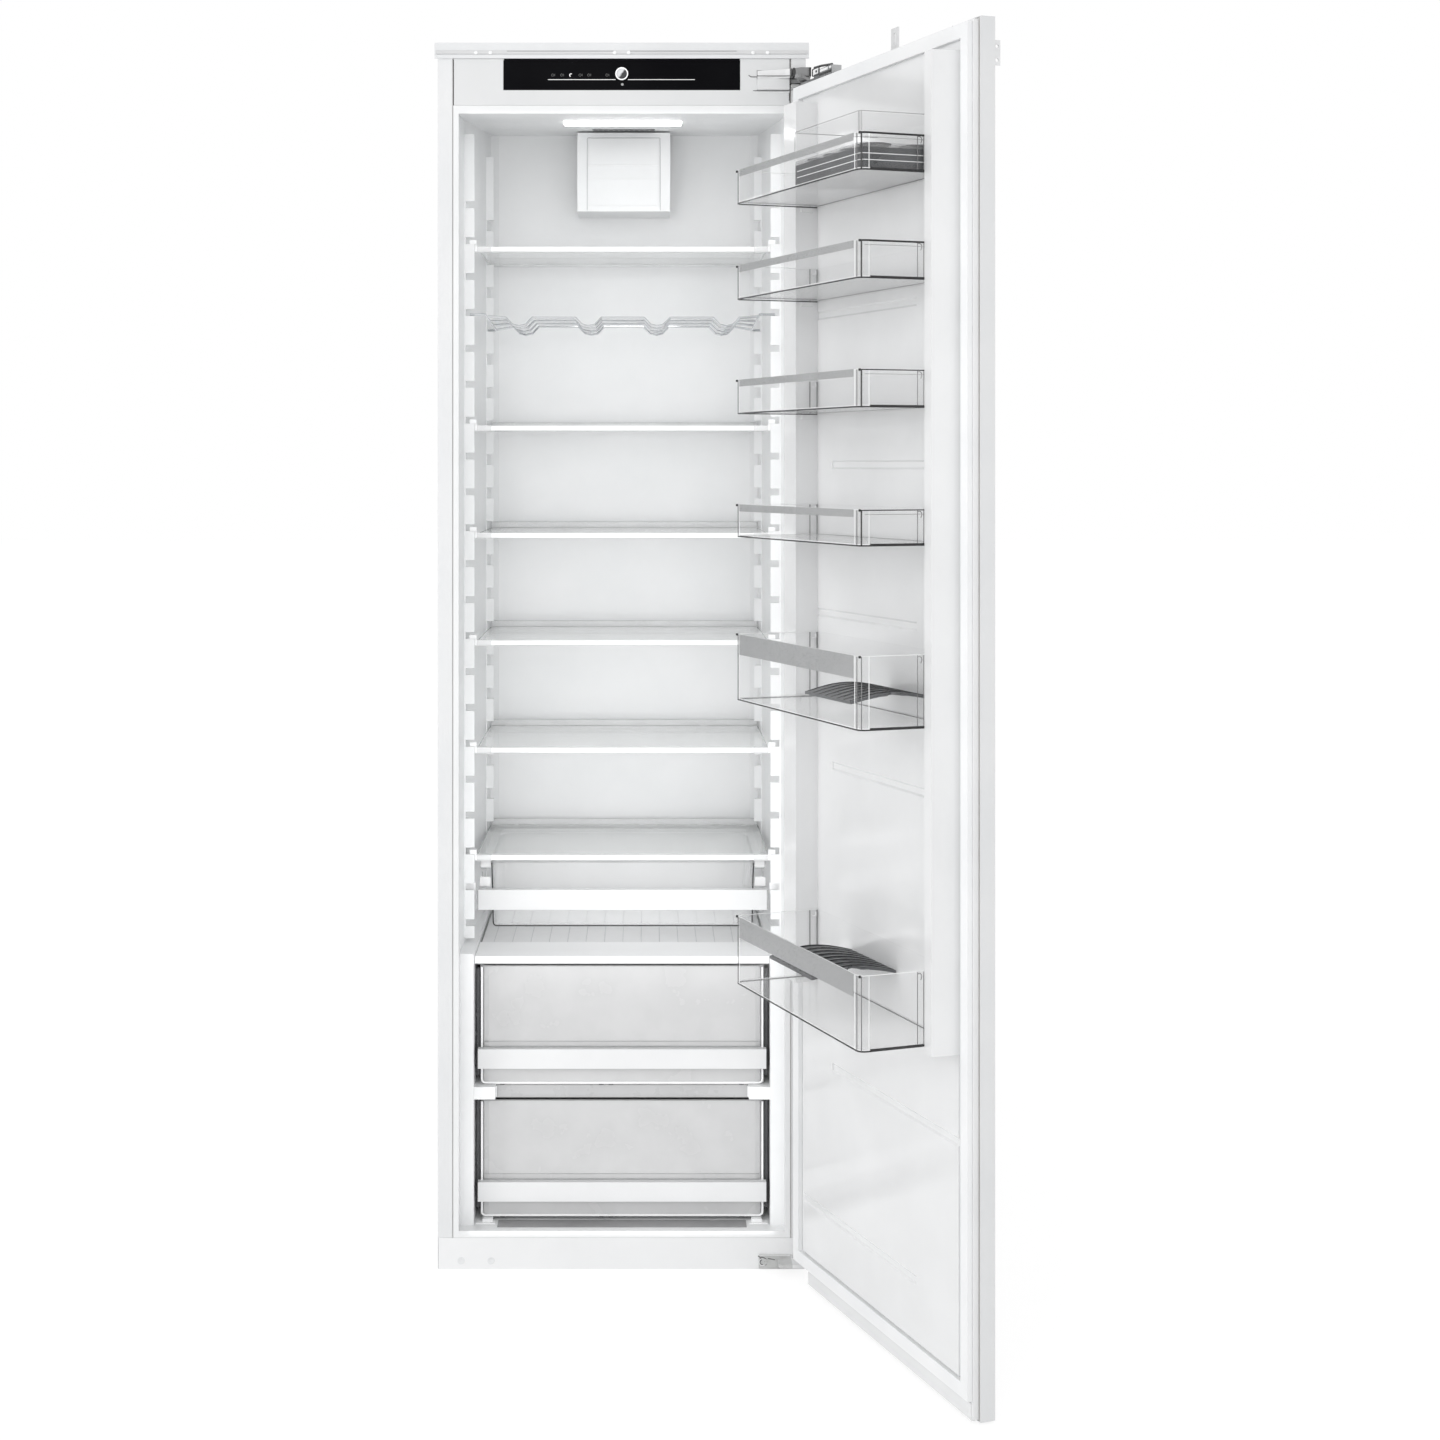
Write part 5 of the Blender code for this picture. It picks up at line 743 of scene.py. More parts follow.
# The upper bins' rims are painted dark as shade where the wall is seen from below; every corner has
# a tip of painted shade.
rim_shades = []
grey_rim_shades = []
corner_shades = []
for foot, top, _ in BINS[:SMALL]:
    rim_shades.append([point for point in bin_run(top - 1.0, 0.0) if point.x < LEFT + 5.0])
    grey_rim_shades.append([point for point in bin_run(top - 6.2, 0.0) if point.x < LEFT + 1.0])
    corner_shades.append(upright(LEFT + 1.6, FACE - 3.1, foot + 1.2, top - 1.0))
settle("bin_dark_rims", wires(rim_shades[:2], 1.3), "door", BLACK_AND_SHADE)
settle("bin_thin_rims", wires(rim_shades[2:], 0.8), "door", BLACK_AND_SHADE)
settle("bin_soft_rims", wires(grey_rim_shades, 0.5), "door", GREY_EDGE_SHADE)
settle("bin_corner_posts", wires(corner_shades, 1.0), "door", BLACK_AND_SHADE)
tip = turned(((1.2, -1.5), (1.7, -0.9), (1.7, 0.9), (1.2, 1.5)), 12)
spots = ((LEFT + 2.4, FACE - 1.2), (RIGHT - 1.6, FACE - 1.0))
shade_tips = [(x, y, top - 1.2) for _, top, _ in BINS for x, y in spots]
repeat("bin_corner_tips", tip, shade_tips, "door", BLACK_AND_SHADE)

# Locating clips at the rear of each end wall, where the bins hook over the door's ladder.
clips = []
for _, top, _ in BINS:
    for side in (LEFT + 1.2, RIGHT - 3.6):
        clips.append((side, side + 2.4, REAR + 5.0, REAR + 10.5, top - 9.0, top - 7.6))
        clips.append((side, side + 2.4, REAR + 3.4, REAR + 5.2, top - 9.0, top - 3.0))
settle("bin_clips", bars(clips, 0.3), "door", PALE_AND_HIGHLIGHT)

# Egg tray: painted highlights along the stacked lips of its deck, and the cups under it.
tray_lines = []
for level in (1541.5, 1533.5):
    run = ((-11.7, -253.0), (-11.7, -137.8), (-204.9, -137.8), (-204.9, -253.0))
    tray_lines.append(rounded([(x, y, level) for x, y in run], 9.0))
settle("egg_tray_lips", wires(tray_lines, 0.55), "door", PALE_AND_HIGHLIGHT)
cup = turned(((20.2, 0.0), (21.6, 0.6), (21.6, 1.0), (20.2, 1.4), (19.6, 1.0), (19.6, 0.3)), 28)
cups = [(column, row) for column in range(4) for row in range(2)]
cup_places = [(-180.68 + 48.25 * column, -226.1 + 58.75 * row, 1554.6) for column, row in cups]
repeat("egg_cups", cup, cup_places, "door", DARK)

# Lid: fine edges of the clear cover, painted grey as shade.
LID_TOP = 1592.2
lid = ((-12.2, -256.0), (-12.2, -135.2), (-207.6, -135.2), (-207.6, -256.0))
lid = [rounded([(x, y, LID_TOP) for x, y in lid], 5.0)]
for x, y in ((-12.3, -137.0), (-206.6, -135.6), (-207.6, -137.6), (-203.8, -135.2)):
    lid.append([(x, y, 1568.0), (x, y, 1592.0)])
settle("egg_cover_edges", wires(lid, 0.5), "door", GREY_EDGE_SHADE)

# Lower edge of the inner door, under the gasket.
spans = [(-258.0, 218.0, -268.8, -260.2, 3.4, 26.8)]
settle("door_lower_skirt", bars(spans, 2.0), "door", DOOR_LINER)

# Ribs across the dark inserts, each bowed to the side and arched, painted darker than the inserts
# as shade along them.
RIB_COUNT, RIB_PITCH, RIB_STEPS = 8, 17.85, 12
ribs = []
for start, foot in ((-178.0, 868.5), (-65.0, 505.5)):
    for count in range(RIB_COUNT):
        x = start + 5.0 + count * RIB_PITCH
        run = []
        for step in range(RIB_STEPS + 1):
            share = step / RIB_STEPS
            arch = math.sin(math.pi * share)
            run.append((x + 5.0 * arch, -255.0 + 116.5 * share, foot + 3.4 + 9.3 * arch))
        ribs.append(run)
settle("insert_ribs", wires(ribs, 1.05), "door", RIB_SHADE)


def ring_run(x, y, z, radius, count, start=0, stop=360):
    """Points round a circle that faces the front."""
    found = []
    for step in range(count + 1):
        angle = math.radians(start + (stop - start) * step / count)
        found.append(Vector((x + radius * math.cos(angle), y, z + radius * math.sin(angle))))
    return found


# Front of the cabinet: marks on the display, and the top trim.
GLASS_FACE = -255.0
SCALE_LEVEL = 1719.0
scale_line = [
    [(-106.6, GLASS_FACE, SCALE_LEVEL), (-8.9, GLASS_FACE, SCALE_LEVEL)],
    [(8.9, GLASS_FACE, SCALE_LEVEL), (105.8, GLASS_FACE, SCALE_LEVEL)],
]
settle("display_scale_line", wires(scale_line, 0.45), "cabinet", MARK)
dot = turned(((1.9, 0), (1.9, 0.2), (1.5, 0.35), (0.1, 0.4)), 20, "Y")
dot.transform(Matrix.Translation((0.8, -254.9, 1712.1)))
settle("display_dot", dot, "cabinet", GREY_SEAM_AND_SHADE)
spans = [(-170.2, 170.6, -255.9, -254.6, 1745.0, 1749.1)]
settle("display_rim", bars(spans, 0.2), "cabinet", BLACK_GLASS)
# The groove's strip is painted grey: painted shade in the groove.
spans = [(-268.6, 268.6, -258.2, -257.2, 1755.6, 1760.8)]
settle("top_trim_groove", bars(spans, 0.3), "cabinet", TRIM_GROOVE_SHADE)
plug = turned(((2.5, -0.4), (2.7, 0.2), (2.4, 0.7), (1.4, 0.9), (0.1, 0.9)), 20, "Y")
places = [(side * x, -258.2, 1757.4) for side in (-1, 1) for x in (10.2, 189.6, 210.6)]
repeat("top_trim_plugs", plug, places, "cabinet", SHELF_EDGE)
runs = [
    [(-166.0, -258.3, 1759.6), (-12.0, -258.3, 1759.6)],
    [(12.0, -258.3, 1759.6), (166.0, -258.3, 1759.6)],
]
settle("top_trim_line", wires(runs, 0.5), "cabinet", GREY_SEAM_AND_SHADE)
symbols = []
for x in (-99.8, -86.9, -60.3, -47.8, -21.6):
    symbols.append(ring_run(x, GLASS_FACE, 1725.6, 1.7, 14))
    symbols.append([(x + 3.0, GLASS_FACE, 1724.0), (x + 3.0, GLASS_FACE, 1727.4)])
settle("display_symbols", wires(symbols, 0.34), "cabinet", FAINT)
runs = [ring_run(-73.3, GLASS_FACE, 1725.4, 2.0, 12, 60, 250)]
settle("display_lit_symbol", wires(runs, 0.6), "cabinet", MARK)

# Seams round the hinge cover in the fascia, and the fascia's own edges.
seams = [
    rounded(((183.4, -255.2, 1725.4), (186.6, -255.2, 1722.9), (195.6, -255.2, 1722.9)), 1.0),
    [(195.4, -264.6, 1722.7), (220.4, -264.8, 1722.5), (246.0, -278.6, 1720.4)],
    [(190.0, -255.0, 1702.8), (242.0, -255.0, 1702.8)],
    [(241.9, -254.7, 1700.0), (241.9, -254.7, 1688.5)],
]
settle("fascia_seams", wires(seams, 0.7), "cabinet", DARK_SEAM_AND_SHADE)
light_seams = [[(190.0, -255.0, 1701.3), (242.0, -255.0, 1701.3)]]
settle("fascia_seam_edges", wires(light_seams, 0.8), "cabinet", SHELF_EDGE)

# Upper hinge: the cover's apron under its cap, the grey block in its black frame of painted shade
# in the hollows round it, the foot below.
apron = [(195.4, 242.0, -264.2, -255.2, 1703.4, 1719.2)]
settle("hinge_cover_apron", bars(apron, 0.3), "cabinet", FASCIA)
spans = [(249.2, 266.4, -286.2, -285.2, 1719.4, 1730.0)]
settle("hinge_upper_block", bars(spans, 0.3), "cabinet", HINGE_GREY)
spans = [(243.6, 258.0, -268.8, -257.0, 1704.6, 1710.2)]
settle("hinge_upper_foot", bars(spans, 0.8), "cabinet", HINGE_PALE)
# Black bars in the hollows round the grey block: painted shade.
hollow = [
    (242.4, 243.3, -285.9, -256.0, 1719.4, 1730.6),
    (242.4, 243.3, -268.8, -256.0, 1711.0, 1719.4),
    (245.6, 247.8, -286.1, -256.0, 1719.4, 1730.8),
    (248.0, 268.4, -286.4, -285.2, 1717.4, 1719.2),
    (268.2, 269.9, -286.3, -285.0, 1719.6, 1730.8),
    (243.4, 258.0, -269.0, -257.2, 1710.3, 1711.5),
    (256.0, 270.0, -269.0, -257.4, 1709.4, 1711.5),
]
settle("hinge_upper_hollow", bars(hollow, 0.2), "cabinet", BLACK_AND_SHADE)

# Lower hinge: the looped slots at its end and the marks beside the pivot.
loops = [
    ring_run(203.0, -258.5, 11.0, 3.4, 20),
    ring_run(203.4, -258.5, 11.6, 6.2, 16, -50, 130),
    [(196.8, -258.5, 20.0), (199.8, -258.5, 18.0), (203.8, -258.5, 18.2)],
    [(211.0, -258.5, 16.6), (221.0, -258.5, 14.6)],
    [(240.0, -258.5, 14.6), (244.4, -258.5, 10.8)],
]
settle("hinge_lower_slots", wires(loops, 0.75), "cabinet", DARK_SEAM_AND_SHADE)
rim = [[(197.0, -258.4, 21.2), (243.0, -258.4, 21.2)], ring_run(203.2, -258.4, 11.2, 4.8, 20)]
settle("hinge_lower_rim", wires(rim, 0.5), "cabinet", SHELF_EDGE)

# Moving plate of the upper hinge: its link arm, the framed end and the hollow between them, painted
# black as shade.
arm = [[(219.0, -271.6, 1724.2), (196.0, -271.6, 1723.2), (160.6, -271.6, 1719.6)]]
settle("hinge_plate_arm", wires(arm, 1.7, 12), "door", BLACK_AND_SHADE)
ring = (
    (200.0, 1714.0),
    (200.0, 1722.0),
    (222.0, 1722.0),
    (222.0, 1712.2),
    (200.0, 1712.2),
    (200.0, 1716.0),
)
ring = [(x, -269.8, z) for x, z in ring]
settle("hinge_plate_ring", wires([rounded(ring, 2.0)], 0.9), "door", BLACK_AND_SHADE)
bright = [
    (203.4, 218.0, -270.6, -269.4, 1713.8, 1720.6),
    (171.0, 197.0, -270.6, -269.4, 1714.0, 1717.8),
    (160.0, 167.0, -270.6, -269.4, 1714.6, 1717.4),
]
settle("hinge_plate_links", bars(bright, 0.3), "door", PALE_AND_HIGHLIGHT)
# Black bars in the hollow between the arm and the end: painted shade.
wedge = [
    (159.6, 200.0, -270.4, -269.5, 1709.0, 1712.4),
    (206.0, 211.0, -270.0, -269.0, 1715.6, 1718.8),
]
settle("hinge_plate_hollow", bars(wedge, 0.3), "door", BLACK_AND_SHADE)
rivet = turned(((2.4, 0), (2.4, 0.8), (1.7, 1.5), (0.1, 1.6)), 18)
places = [(x, -277.5, 1718.6) for x in (171.0, 198.0, 216.0)]
repeat("hinge_plate_rivets", rivet, places, "door", CHROME)

# Screws on the door's upper edge and beside the brackets.
screw = screw_head(2.6, 2.4)
places = [(-176.0, -281.0, 1706.0), (-184.0, -276.0, 1706.0), (-192.0, -283.0, 1706.0)]
repeat("door_top_screws", screw, places, "door", SEAM)
screw = screw_head(2.6, 1.4)
places = [(0.0, -280.9, 1708.2), (-253.0, -289.6, 1655.0, 90), (-253.0, -289.6, 1669.0, 90)]
repeat("bracket_screws", screw, places, "door", STEEL)

# Inside the cabinet: the vent, with a dark plate of painted shade behind its slats, and the light
# in its ceiling.
CEILING_LEVEL, CEILING_SLOPE = 1688.97, 0.0746


def lean(mesh):
    """A mesh whose heights are given from the ceiling, which slopes with depth."""
    for vert in mesh.vertices:
        vert.co.z += CEILING_LEVEL + CEILING_SLOPE * vert.co.y
    return mesh


# The dark plate behind the slats is painted shade in the vent's opening.
spans = [(-49.0, 49.0, 34.0, 73.5, -0.5, 0.1)]
settle("ceiling_vent", lean(bars(spans, 0.1)), "cabinet", VENT_SHADE)
slats = [(-49.0 + 8.1 * count, -47.2 + 8.1 * count, 35.0, 72.5, -1.1, -0.3) for count in range(13)]
settle("ceiling_vent_slats", lean(bars(slats, 0.2)), "cabinet", GREY_SEAM_AND_SHADE)
spans = [(-90.4, 90.4, -97.0, -83.4, -2.4, -0.2)]
settle("light_rear_lip", lean(bars(spans, 0.5)), "cabinet", LINER)
rim = rounded(
    ((-89.3, -84.0, -1.2), (-89.3, -115.0, -1.2), (89.3, -115.0, -1.2), (89.3, -84.0, -1.2)),
    3.0,
)
settle("light_bezel", lean(wires([rim], 0.7)), "cabinet", LINER)

# Fan unit: the seam round its cover, the step across it and the slots in its sides.
seam = ((-58.3, 74.8, 1568.0), (-58.3, 74.8, 1684.0), (58.3, 74.8, 1684.0), (58.3, 74.8, 1568.0))
settle("fan_seam", wires([rounded(seam, 3.0)], 0.55), "cabinet", SEAM_PALE)
edge_lines = [[(-55.0, 75.2, 1640.0), (55.0, 75.2, 1640.0)]]
settle("fan_cover_step", wires(edge_lines, 0.7), "cabinet", SHELF_EDGE)
louvres = [
    (low, low + 0.8, 92.0 + 9.0 * count, 96.0 + 9.0 * count, 1590.0, 1665.0)
    for low in (-74.2, 73.4)
    for count in range(8)
]
settle("fan_side_slots", bars(louvres, 0.2), "cabinet", GREY_SEAM_AND_SHADE)

# Shelves, by the levels of their tops: end caps over the front trims, rear upstands, glass edges.
SHELVES = (1490.0, 1221.0, 1059.6, 898.2, 736.8, 575.4)
cap = bars([(-14.6, 14.6, -6.7, 6.7, -8.1, 0.5), (-14.6, 14.6, -6.9, -6.3, -8.3, -6.9)], 0.9)
places = [(side * 211.0, -121.0, top) for top in SHELVES for side in (-1, 1)]
repeat("shelf_end_caps", cap, places, "cabinet", CAP)
tip = bars([(-1.0, 1.0, -0.8, 0.8, -1.2, 1.2)], 0.4)
places = [(side * 226.6, -126.0, top - 6.0) for top in SHELVES for side in (-1, 1)]
places += [(side * 217.8, 157.0, top - 3.0) for top in SHELVES for side in (-1, 1)]
repeat("shelf_corner_marks", tip, places, "cabinet", GREY_SEAM_AND_SHADE)
upstands = []
for top in SHELVES:
    upstands.append((-216.6, 216.6, 156.4, 159.8, top - 0.9, top + 9.6))
    upstands.append((-216.6, 216.6, 148.0, 159.8, top - 1.0, top + 0.7))
settle("shelf_rear_upstands", bars(upstands, 0.5), "cabinet", CAP)
rails = []
for top in SHELVES:
    for side in (-1, 1):
        rail = ((218.6, -114.0), (218.6, 96.0), (217.1, 159.0))
        rails.append([(side * x, y, top - 1.2) for x, y in rail])
settle("shelf_glass_edges", wires(rails, 0.8), "cabinet", GLASS_EDGE)
backs = [
    [(-half, y, top + rise), (half, y, top + rise)]
    for half, y, rise in ((214.0, 156.3, 9.9), (214.0, 147.8, 0.4), (224.0, -127.1, -7.4))
    for top in SHELVES
]
settle("shelf_lines", wires(backs, 0.3), "cabinet", GREY_SEAM_AND_SHADE)

# Bottle rack: clips that hold the wires at the side walls.
clips = [
    (side - 1.5, side + 1.5, -3.0 + y, 3.0 + y, 1372.0, 1379.0)
    for side in (-228.0, 228.0)
    for y in (-112.0, 90.0)
]
settle("bottle_rack_clips", bars(clips, 0.8), "cabinet", CAP)

# Shallow drawer: the dark lines of its clear walls, which are painted shade, its hangers' clips and
# the tabs beside it.
runs = [
    rounded(
        (
            (-195.6, -117.2, 494.0),
            (-195.0, -117.4, 467.6),
            (195.0, -117.4, 467.6),
            (195.6, -117.2, 494.0),
        ),
        6.0,
    ),
    [(-196.0, -117.2, 524.0), (-197.2, -117.2, 562.0)],
    [(196.0, -117.2, 524.0), (197.2, -117.2, 562.0)],
]
settle("shallow_drawer_lines", wires(runs, 1.0), "shallow", BLACK_AND_SHADE)
# Painted grey shade along the clear drawer's other edges.
soft = [
    [(-195.0, -117.0, 563.3), (195.0, -117.0, 563.3)],
    [(-217.3, -131.2, 494.6), (-217.3, -131.2, 523.6)],
    [(217.3, -131.2, 494.6), (217.3, -131.2, 523.6)],
    [(-190.0, 142.6, 469.0), (190.0, 142.6, 469.0)],
]
settle("shallow_drawer_edges", wires(soft, 0.75), "shallow", GREY_SEAM_AND_SHADE)
ribs = [
    (-168.0 + 28.0 * count, -167.0 + 28.0 * count, -112.0, 138.0, 470.1, 471.3)
    for count in range(13)
]
settle("shallow_drawer_ribs", bars(ribs, 0.3), "shallow", TRAY)
hang = []
for side in (-1, 1):
    low, high = sorted((side * 199.0, side * 215.5))
    hang.append((low, high, -116.2, -113.6, 555.0, 567.8))
    hang.append((low, high, -116.6, -115.2, 527.0, 541.0))
settle("drawer_hanger_clips", bars(hang, 0.6), "cabinet", CAP)
lines = []
for side in (-1, 1):
    lines.append([(side * 199.0, -116.6, 567.2), (side * 215.0, -116.6, 567.2)])
    lines.append([(side * 211.5, -116.8, 541.0), (side * 211.5, -116.8, 549.0)])
    bend = ((199.5, 554.0), (214.0, 554.0), (214.0, 565.0))
    lines.append(rounded([(side * x, -116.7, z) for x, z in bend], 1.5))
settle("drawer_hanger_lines", wires(lines, 0.45), "cabinet", GREY_SEAM_AND_SHADE)
tabs = [
    (-236.8, -221.4, -124.0, -112.0, 515.5, 534.0),
    (221.4, 236.8, -124.0, -112.0, 515.5, 534.0),
]
settle("drawer_side_tabs", bars(tabs, 1.0), "cabinet", SHELF_EDGE)

# Crispers: white frames round the fronts, lines over the handles, seals at the sides, and feet.
# Each has its foot, its top, the foot of its handle and the top of its seals.
CRISPERS = (("upper", 250.5, 425.0, 305.0, 421.0), ("lower", 55.6, 227.0, 110.1, 231.0))
for word, foot, top, handle, seal in CRISPERS:
    body = word + "_crisper"
    run = ((-206.5, top - 2.0), (-206.5, foot + 2.0), (206.5, foot + 2.0), (206.5, top - 2.0))
    run = rounded([(x, -195.1, z) for x, z in run], 6.0)
    settle("crisper_frame_" + word, wires([run], 1.5), body, SHELF_EDGE)
    lines = [
        [(-203.0, -195.3, top - 0.6), (203.0, -195.3, top - 0.6)],
        [(-204.0, -195.3, handle + 0.9), (204.0, -195.3, handle + 0.9)],
        [(-203.0, -195.1, handle + 8.4), (203.0, -195.1, handle + 8.4)],
    ]
    settle("crisper_lines_" + word, wires(lines, 0.55), body, GREY_SEAM_AND_SHADE)
    sides = ((-214.6, -209.8), (209.8, 214.6))
    seals = [(low, high, -193.5, -189.5, foot + 12.0, seal) for low, high in sides]
    settle("crisper_seals_" + word, bars(seals, 1.2), body, DARK)
    steps = (8.0, 22.0, 168.0, 182.0, 374.0, 388.0)
    pads = [(x - 202.0, x - 195.0, -194.5, -190.5, foot - 1.4, foot + 0.4) for x in steps]
    settle("crisper_feet_" + word, bars(pads, 0.4), body, DARK)

# Over and between the crispers, and the floor of the cabinet with a painted shadow under the lower
# drawer.
cover_lines = [
    [(-217.0, -196.6, 437.0), (-217.0, -160.0, 437.6), (-216.7, 120.0, 436.0)],
    [(216.9, -196.6, 437.0), (216.9, -160.0, 437.6), (216.7, 120.0, 436.0)],
    [(-216.0, -197.2, 428.2), (216.0, -197.2, 428.2)],
]
settle("crisper_cover_lines", wires(cover_lines, 0.6), "cabinet", GREY_SEAM_AND_SHADE)
spans = [(-216.4, 216.4, -175.5, -98.0, 434.9, 438.6)]
settle("crisper_cover_band", bars(spans, 0.4), "cabinet", SHELF_EDGE)
spans = [(-214.0, 214.0, -98.0, 158.0, 435.3, 436.1)]
settle("crisper_cover_sheet", bars(spans, 0.2), "cabinet", PALE_FILM)
ridges = [[(x, -96.0, 436.0), (x, 156.0, 436.0)] for x in range(-196, 197, 28)]
settle("crisper_cover_ridges", wires(ridges, 0.6), "cabinet", SEAM_PALE)
spans = [(-216.6, 216.6, -190.0, -186.5, 229.2, 248.6)]
settle("crisper_divider", bars(spans, 0.6), "cabinet", GREY_FILM)
ends = [
    (-216.8, -184.5, -195.5, -189.5, 230.5, 248.2),
    (184.5, 216.8, -195.5, -189.5, 230.5, 248.2),
]
settle("crisper_divider_ends", bars(ends, 1.2), "cabinet", LINER)
# A grey strip on the cabinet floor: painted shadow under the lower drawer.
spans = [(-182.0, 182.0, -226.0, -196.0, 49.9, 50.7)]
settle("cabinet_floor_slot", bars(spans, 0.3), "cabinet", FLOOR_SHADOW)
runner_pads = [
    (side * 200.0 - 14.0, side * 200.0 + 14.0, -212.0, -197.0, 49.9, 51.2)
    for side in (-1, 1)
]
settle("runner_pads", bars(runner_pads, 0.4), "cabinet", SHELF_EDGE)
dimples = turned(((5.2, 0), (5.2, 0.3), (4.4, 0.6), (3.4, 0.2), (0.1, 0.0)), 28, "Y")
places = [(x, -255.0, 12.0) for x in (-232.3, -189.0, 232.3)]
repeat("plinth_dimples", dimples, places, "cabinet", WHITE)

# Cooling machine in its niche: relay box, pipes, drier and rubber mounts.
box_spans = [(-142.0, -62.0, 228.0, 246.0, 62.0, 118.0), (-136.0, -68.0, 245.0, 248.5, 68.0, 112.0)]
settle("compressor_relay_box", bars(box_spans, 2.0), "cabinet", DARK)
pipes = [
    rounded(
        (
            (-30.0, 165.0, 108.0),
            (-2.0, 205.0, 108.0),
            (-2.0, 205.0, 38.0),
            (26.0, 196.0, 38.0),
            (26.0, 180.0, 38.0),
        ),
        9.0,
    ),
    rounded(
        ((-30.0, 130.0, 128.0), (-4.0, 100.0, 128.0), (-4.0, 100.0, 172.0), (-4.0, 64.8, 184.0)),
        9.0,
    ),
    rounded(((-172.0, 205.0, 60.0), (-186.0, 226.0, 60.0), (-186.0, 226.0, 108.0)), 6.0),
]
settle("compressor_pipes", wires(pipes, 3.0, 16), "cabinet", COPPER)
drier = turned(((2.6, 0), (3.2, 6), (8.0, 14), (8.0, 74), (3.2, 82), (2.6, 88)))
repeat("filter_drier", drier, [(238.0, 205.0, 60.0)], "cabinet", COPPER)
links = [
    rounded(((238.0, 205.0, 60.5), (238.0, 205.0, 40.0), (222.0, 186.0, 40.0)), 8.0),
    rounded(((238.0, 205.0, 147.5), (238.0, 205.0, 170.0), (238.0, 64.8, 182.0)), 9.0),
]
settle("drier_pipes", wires(links, 1.8, 12), "cabinet", COPPER)
mount = turned(
    (
        (9.0, 0),
        (10.5, 1.0),
        (10.5, 5.0),
        (7.0, 7.0),
        (7.0, 10.0),
        (9.0, 11.0),
        (9.0, 14.0),
        (4.0, 15.0),
        (4.0, 18.0),
        (0.2, 18.5),
    ),
    24,
)
places = [(x, y, 1.8) for x in (-178.0, -26.0) for y in (98.0, 228.0)]
repeat("compressor_mounts", mount, places, "cabinet", DARK)
screw = screw_head(3.4, 1.8)
places = [(x, 65.9, z, -90) for x in (-240.0, -80.0, 80.0, 240.0) for z in (30.0, 150.0)]
repeat("niche_screws", screw, places, "cabinet", STEEL)

# World and floor: both read white to the camera, and light the part less than they show.
FLOOR_GLOW = 0.74
world = bpy.data.worlds.new("studio")
bpy.context.scene.world = world
world.use_nodes = True
tree = world.node_tree
rays = tree.nodes.new("ShaderNodeLightPath")
seen = (
    Wire(tree, rays.outputs["Is Camera Ray"])
    .highest(Wire(tree, rays.outputs["Is Glossy Ray"]) * 0.5)
    .highest(Wire(tree, rays.outputs["Is Transmission Ray"]))
)
background = tree.nodes["Background"]
background.inputs["Color"].default_value = (1.0, 1.0, 1.0, 1.0)
put(tree, background.inputs["Strength"], seen.between(0.75, 1.0))

floor_mesh = bpy.data.meshes.new("floor")
form = bmesh.new()
bmesh.ops.create_grid(form, x_segments=8, y_segments=8, size=30)
form.to_mesh(floor_mesh)
form.free()
floor = linked("floor", floor_mesh)
floor_look = bpy.data.materials.new("floor_white")
floor_look.use_nodes = True
tree = floor_look.node_tree
shader = tree.nodes["Principled BSDF"]
shader.inputs["Roughness"].default_value = 0.7
plain = blend(tree, noise(tree, 3.0), (0.88, 0.88, 0.88), (0.90, 0.90, 0.90))
put(tree, shader.inputs["Base Color"], plain)
glow = make(tree, "Emission", Color=(1.0, 1.0, 1.0), Strength=1.12)
rays = tree.nodes.new("ShaderNodeLightPath")
mixed = tree.nodes.new("ShaderNodeMixShader")
put(tree, mixed.inputs[0], Wire(tree, rays.outputs["Is Camera Ray"]) * FLOOR_GLOW)
tree.links.new(shader.outputs[0], mixed.inputs[1])
put(tree, mixed.inputs[2], glow)
tree.links.new(mixed.outputs[0], tree.nodes["Material Output"].inputs["Surface"])
floor_mesh.materials.append(floor_look)


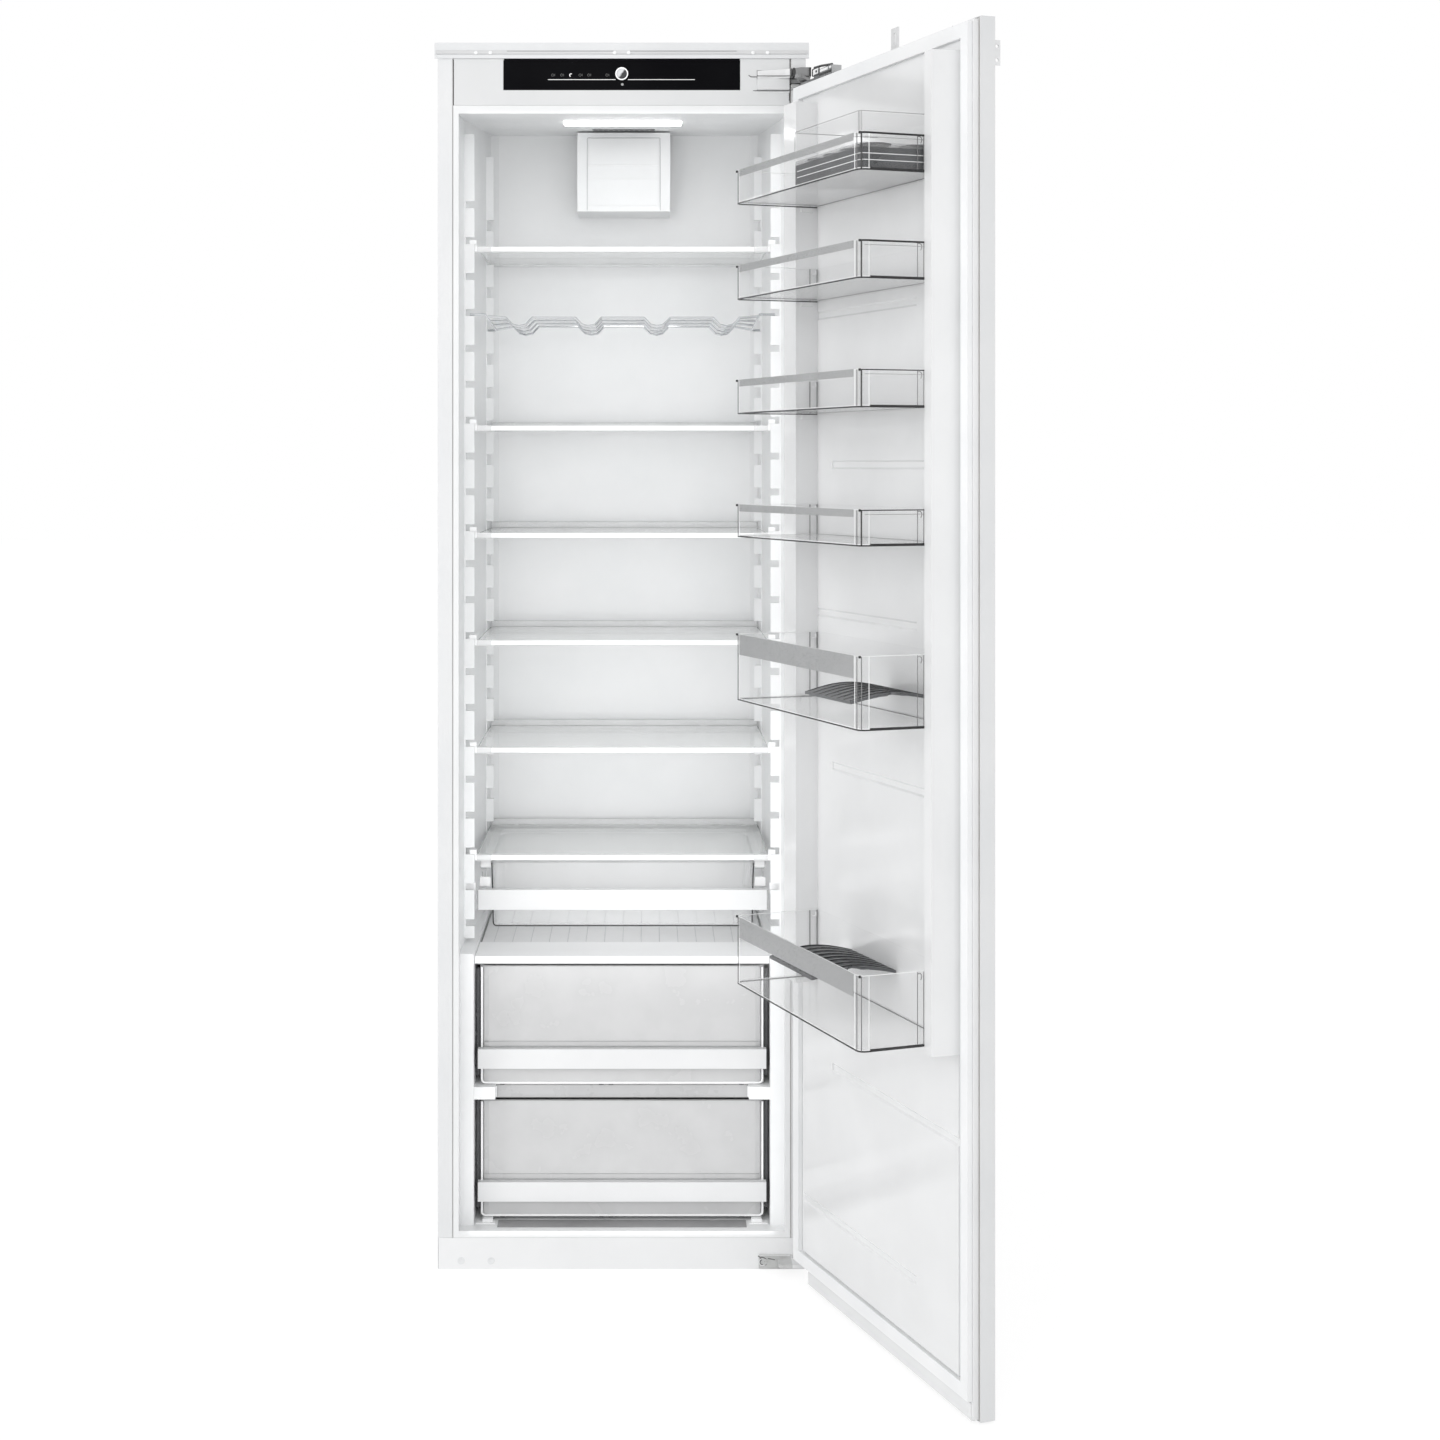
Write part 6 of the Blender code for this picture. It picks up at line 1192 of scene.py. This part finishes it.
def lamp(name, where, aim, size, power):
    """A rectangular lamp: place, aim, width and height in metres, watts."""
    data = bpy.data.lights.new(name, "AREA")
    data.shape = "RECTANGLE"
    data.size, data.size_y = size
    data.energy = power
    made = linked(name, data)
    made.location = where
    made.rotation_euler = (Vector(aim) - Vector(where)).to_track_quat("-Z", "Y").to_euler()
    return made


lamp("key", (-3.2, -1.7, 1.8), (0.35, -0.45, 0.9), (2.2, 2.6), 39)
lamp("fill", (2.4, -3.2, 1.8), (0.1, -0.2, 0.9), (2.0, 2.4), 5)
lamp("front", (-0.1, -3.0, 1.3), (0.0, 0.1, 0.9), (1.2, 2.2), 15)
# The lit inside: two soft panels across the mouth of the cabinet, shining inward, and one under the
# lowest shelf. None of them shows to the camera or in reflections.
MOUTH, PANEL_SPREAD = -0.262, math.radians(110)
panel = lamp("inside", (0.0, MOUTH, 0.86), (0.0, 0.3, 0.86), (0.44, 1.62), 0.89)
under_shelf = lamp("under_shelf", (0.0, -0.02, 0.5665), (0.0, -0.0201, 0.4), (0.38, 0.20), 0.17)
low_panel = lamp("inside_low", (0.0, MOUTH, 0.60), (0.0, 0.3, 0.60), (0.42, 0.40), 0.15)
panel.data.spread = low_panel.data.spread = PANEL_SPREAD
for part in (panel, low_panel, under_shelf):
    part.visible_camera = False
    part.visible_glossy = False

# The clear bins stack more layers of plastic than the default lets light pass.
bpy.context.scene.cycles.transparent_max_bounces = 40

# The camera as fitted to the photo; its focal length and shifts are in the photo's pixels.
SENSOR, PHOTO_SIDE, FOCAL = 36, 1440, 2205
SHIFT_X, SHIFT_Y = 77, -255
EYE_AHEAD = 3.187
camera_data = bpy.data.cameras.new("camera")
camera_data.lens = SENSOR * FOCAL / PHOTO_SIDE
camera_data.sensor_width = SENSOR
camera_data.shift_x = SHIFT_X / PHOTO_SIDE
camera_data.shift_y = SHIFT_Y / PHOTO_SIDE
camera = linked("camera", camera_data)
camera.location = (0.0307, FRONT - EYE_AHEAD, 1.162)
camera.rotation_euler = (math.radians(90), 0, 0)
bpy.context.scene.camera = camera
bpy.context.scene.view_settings.view_transform = "Standard"
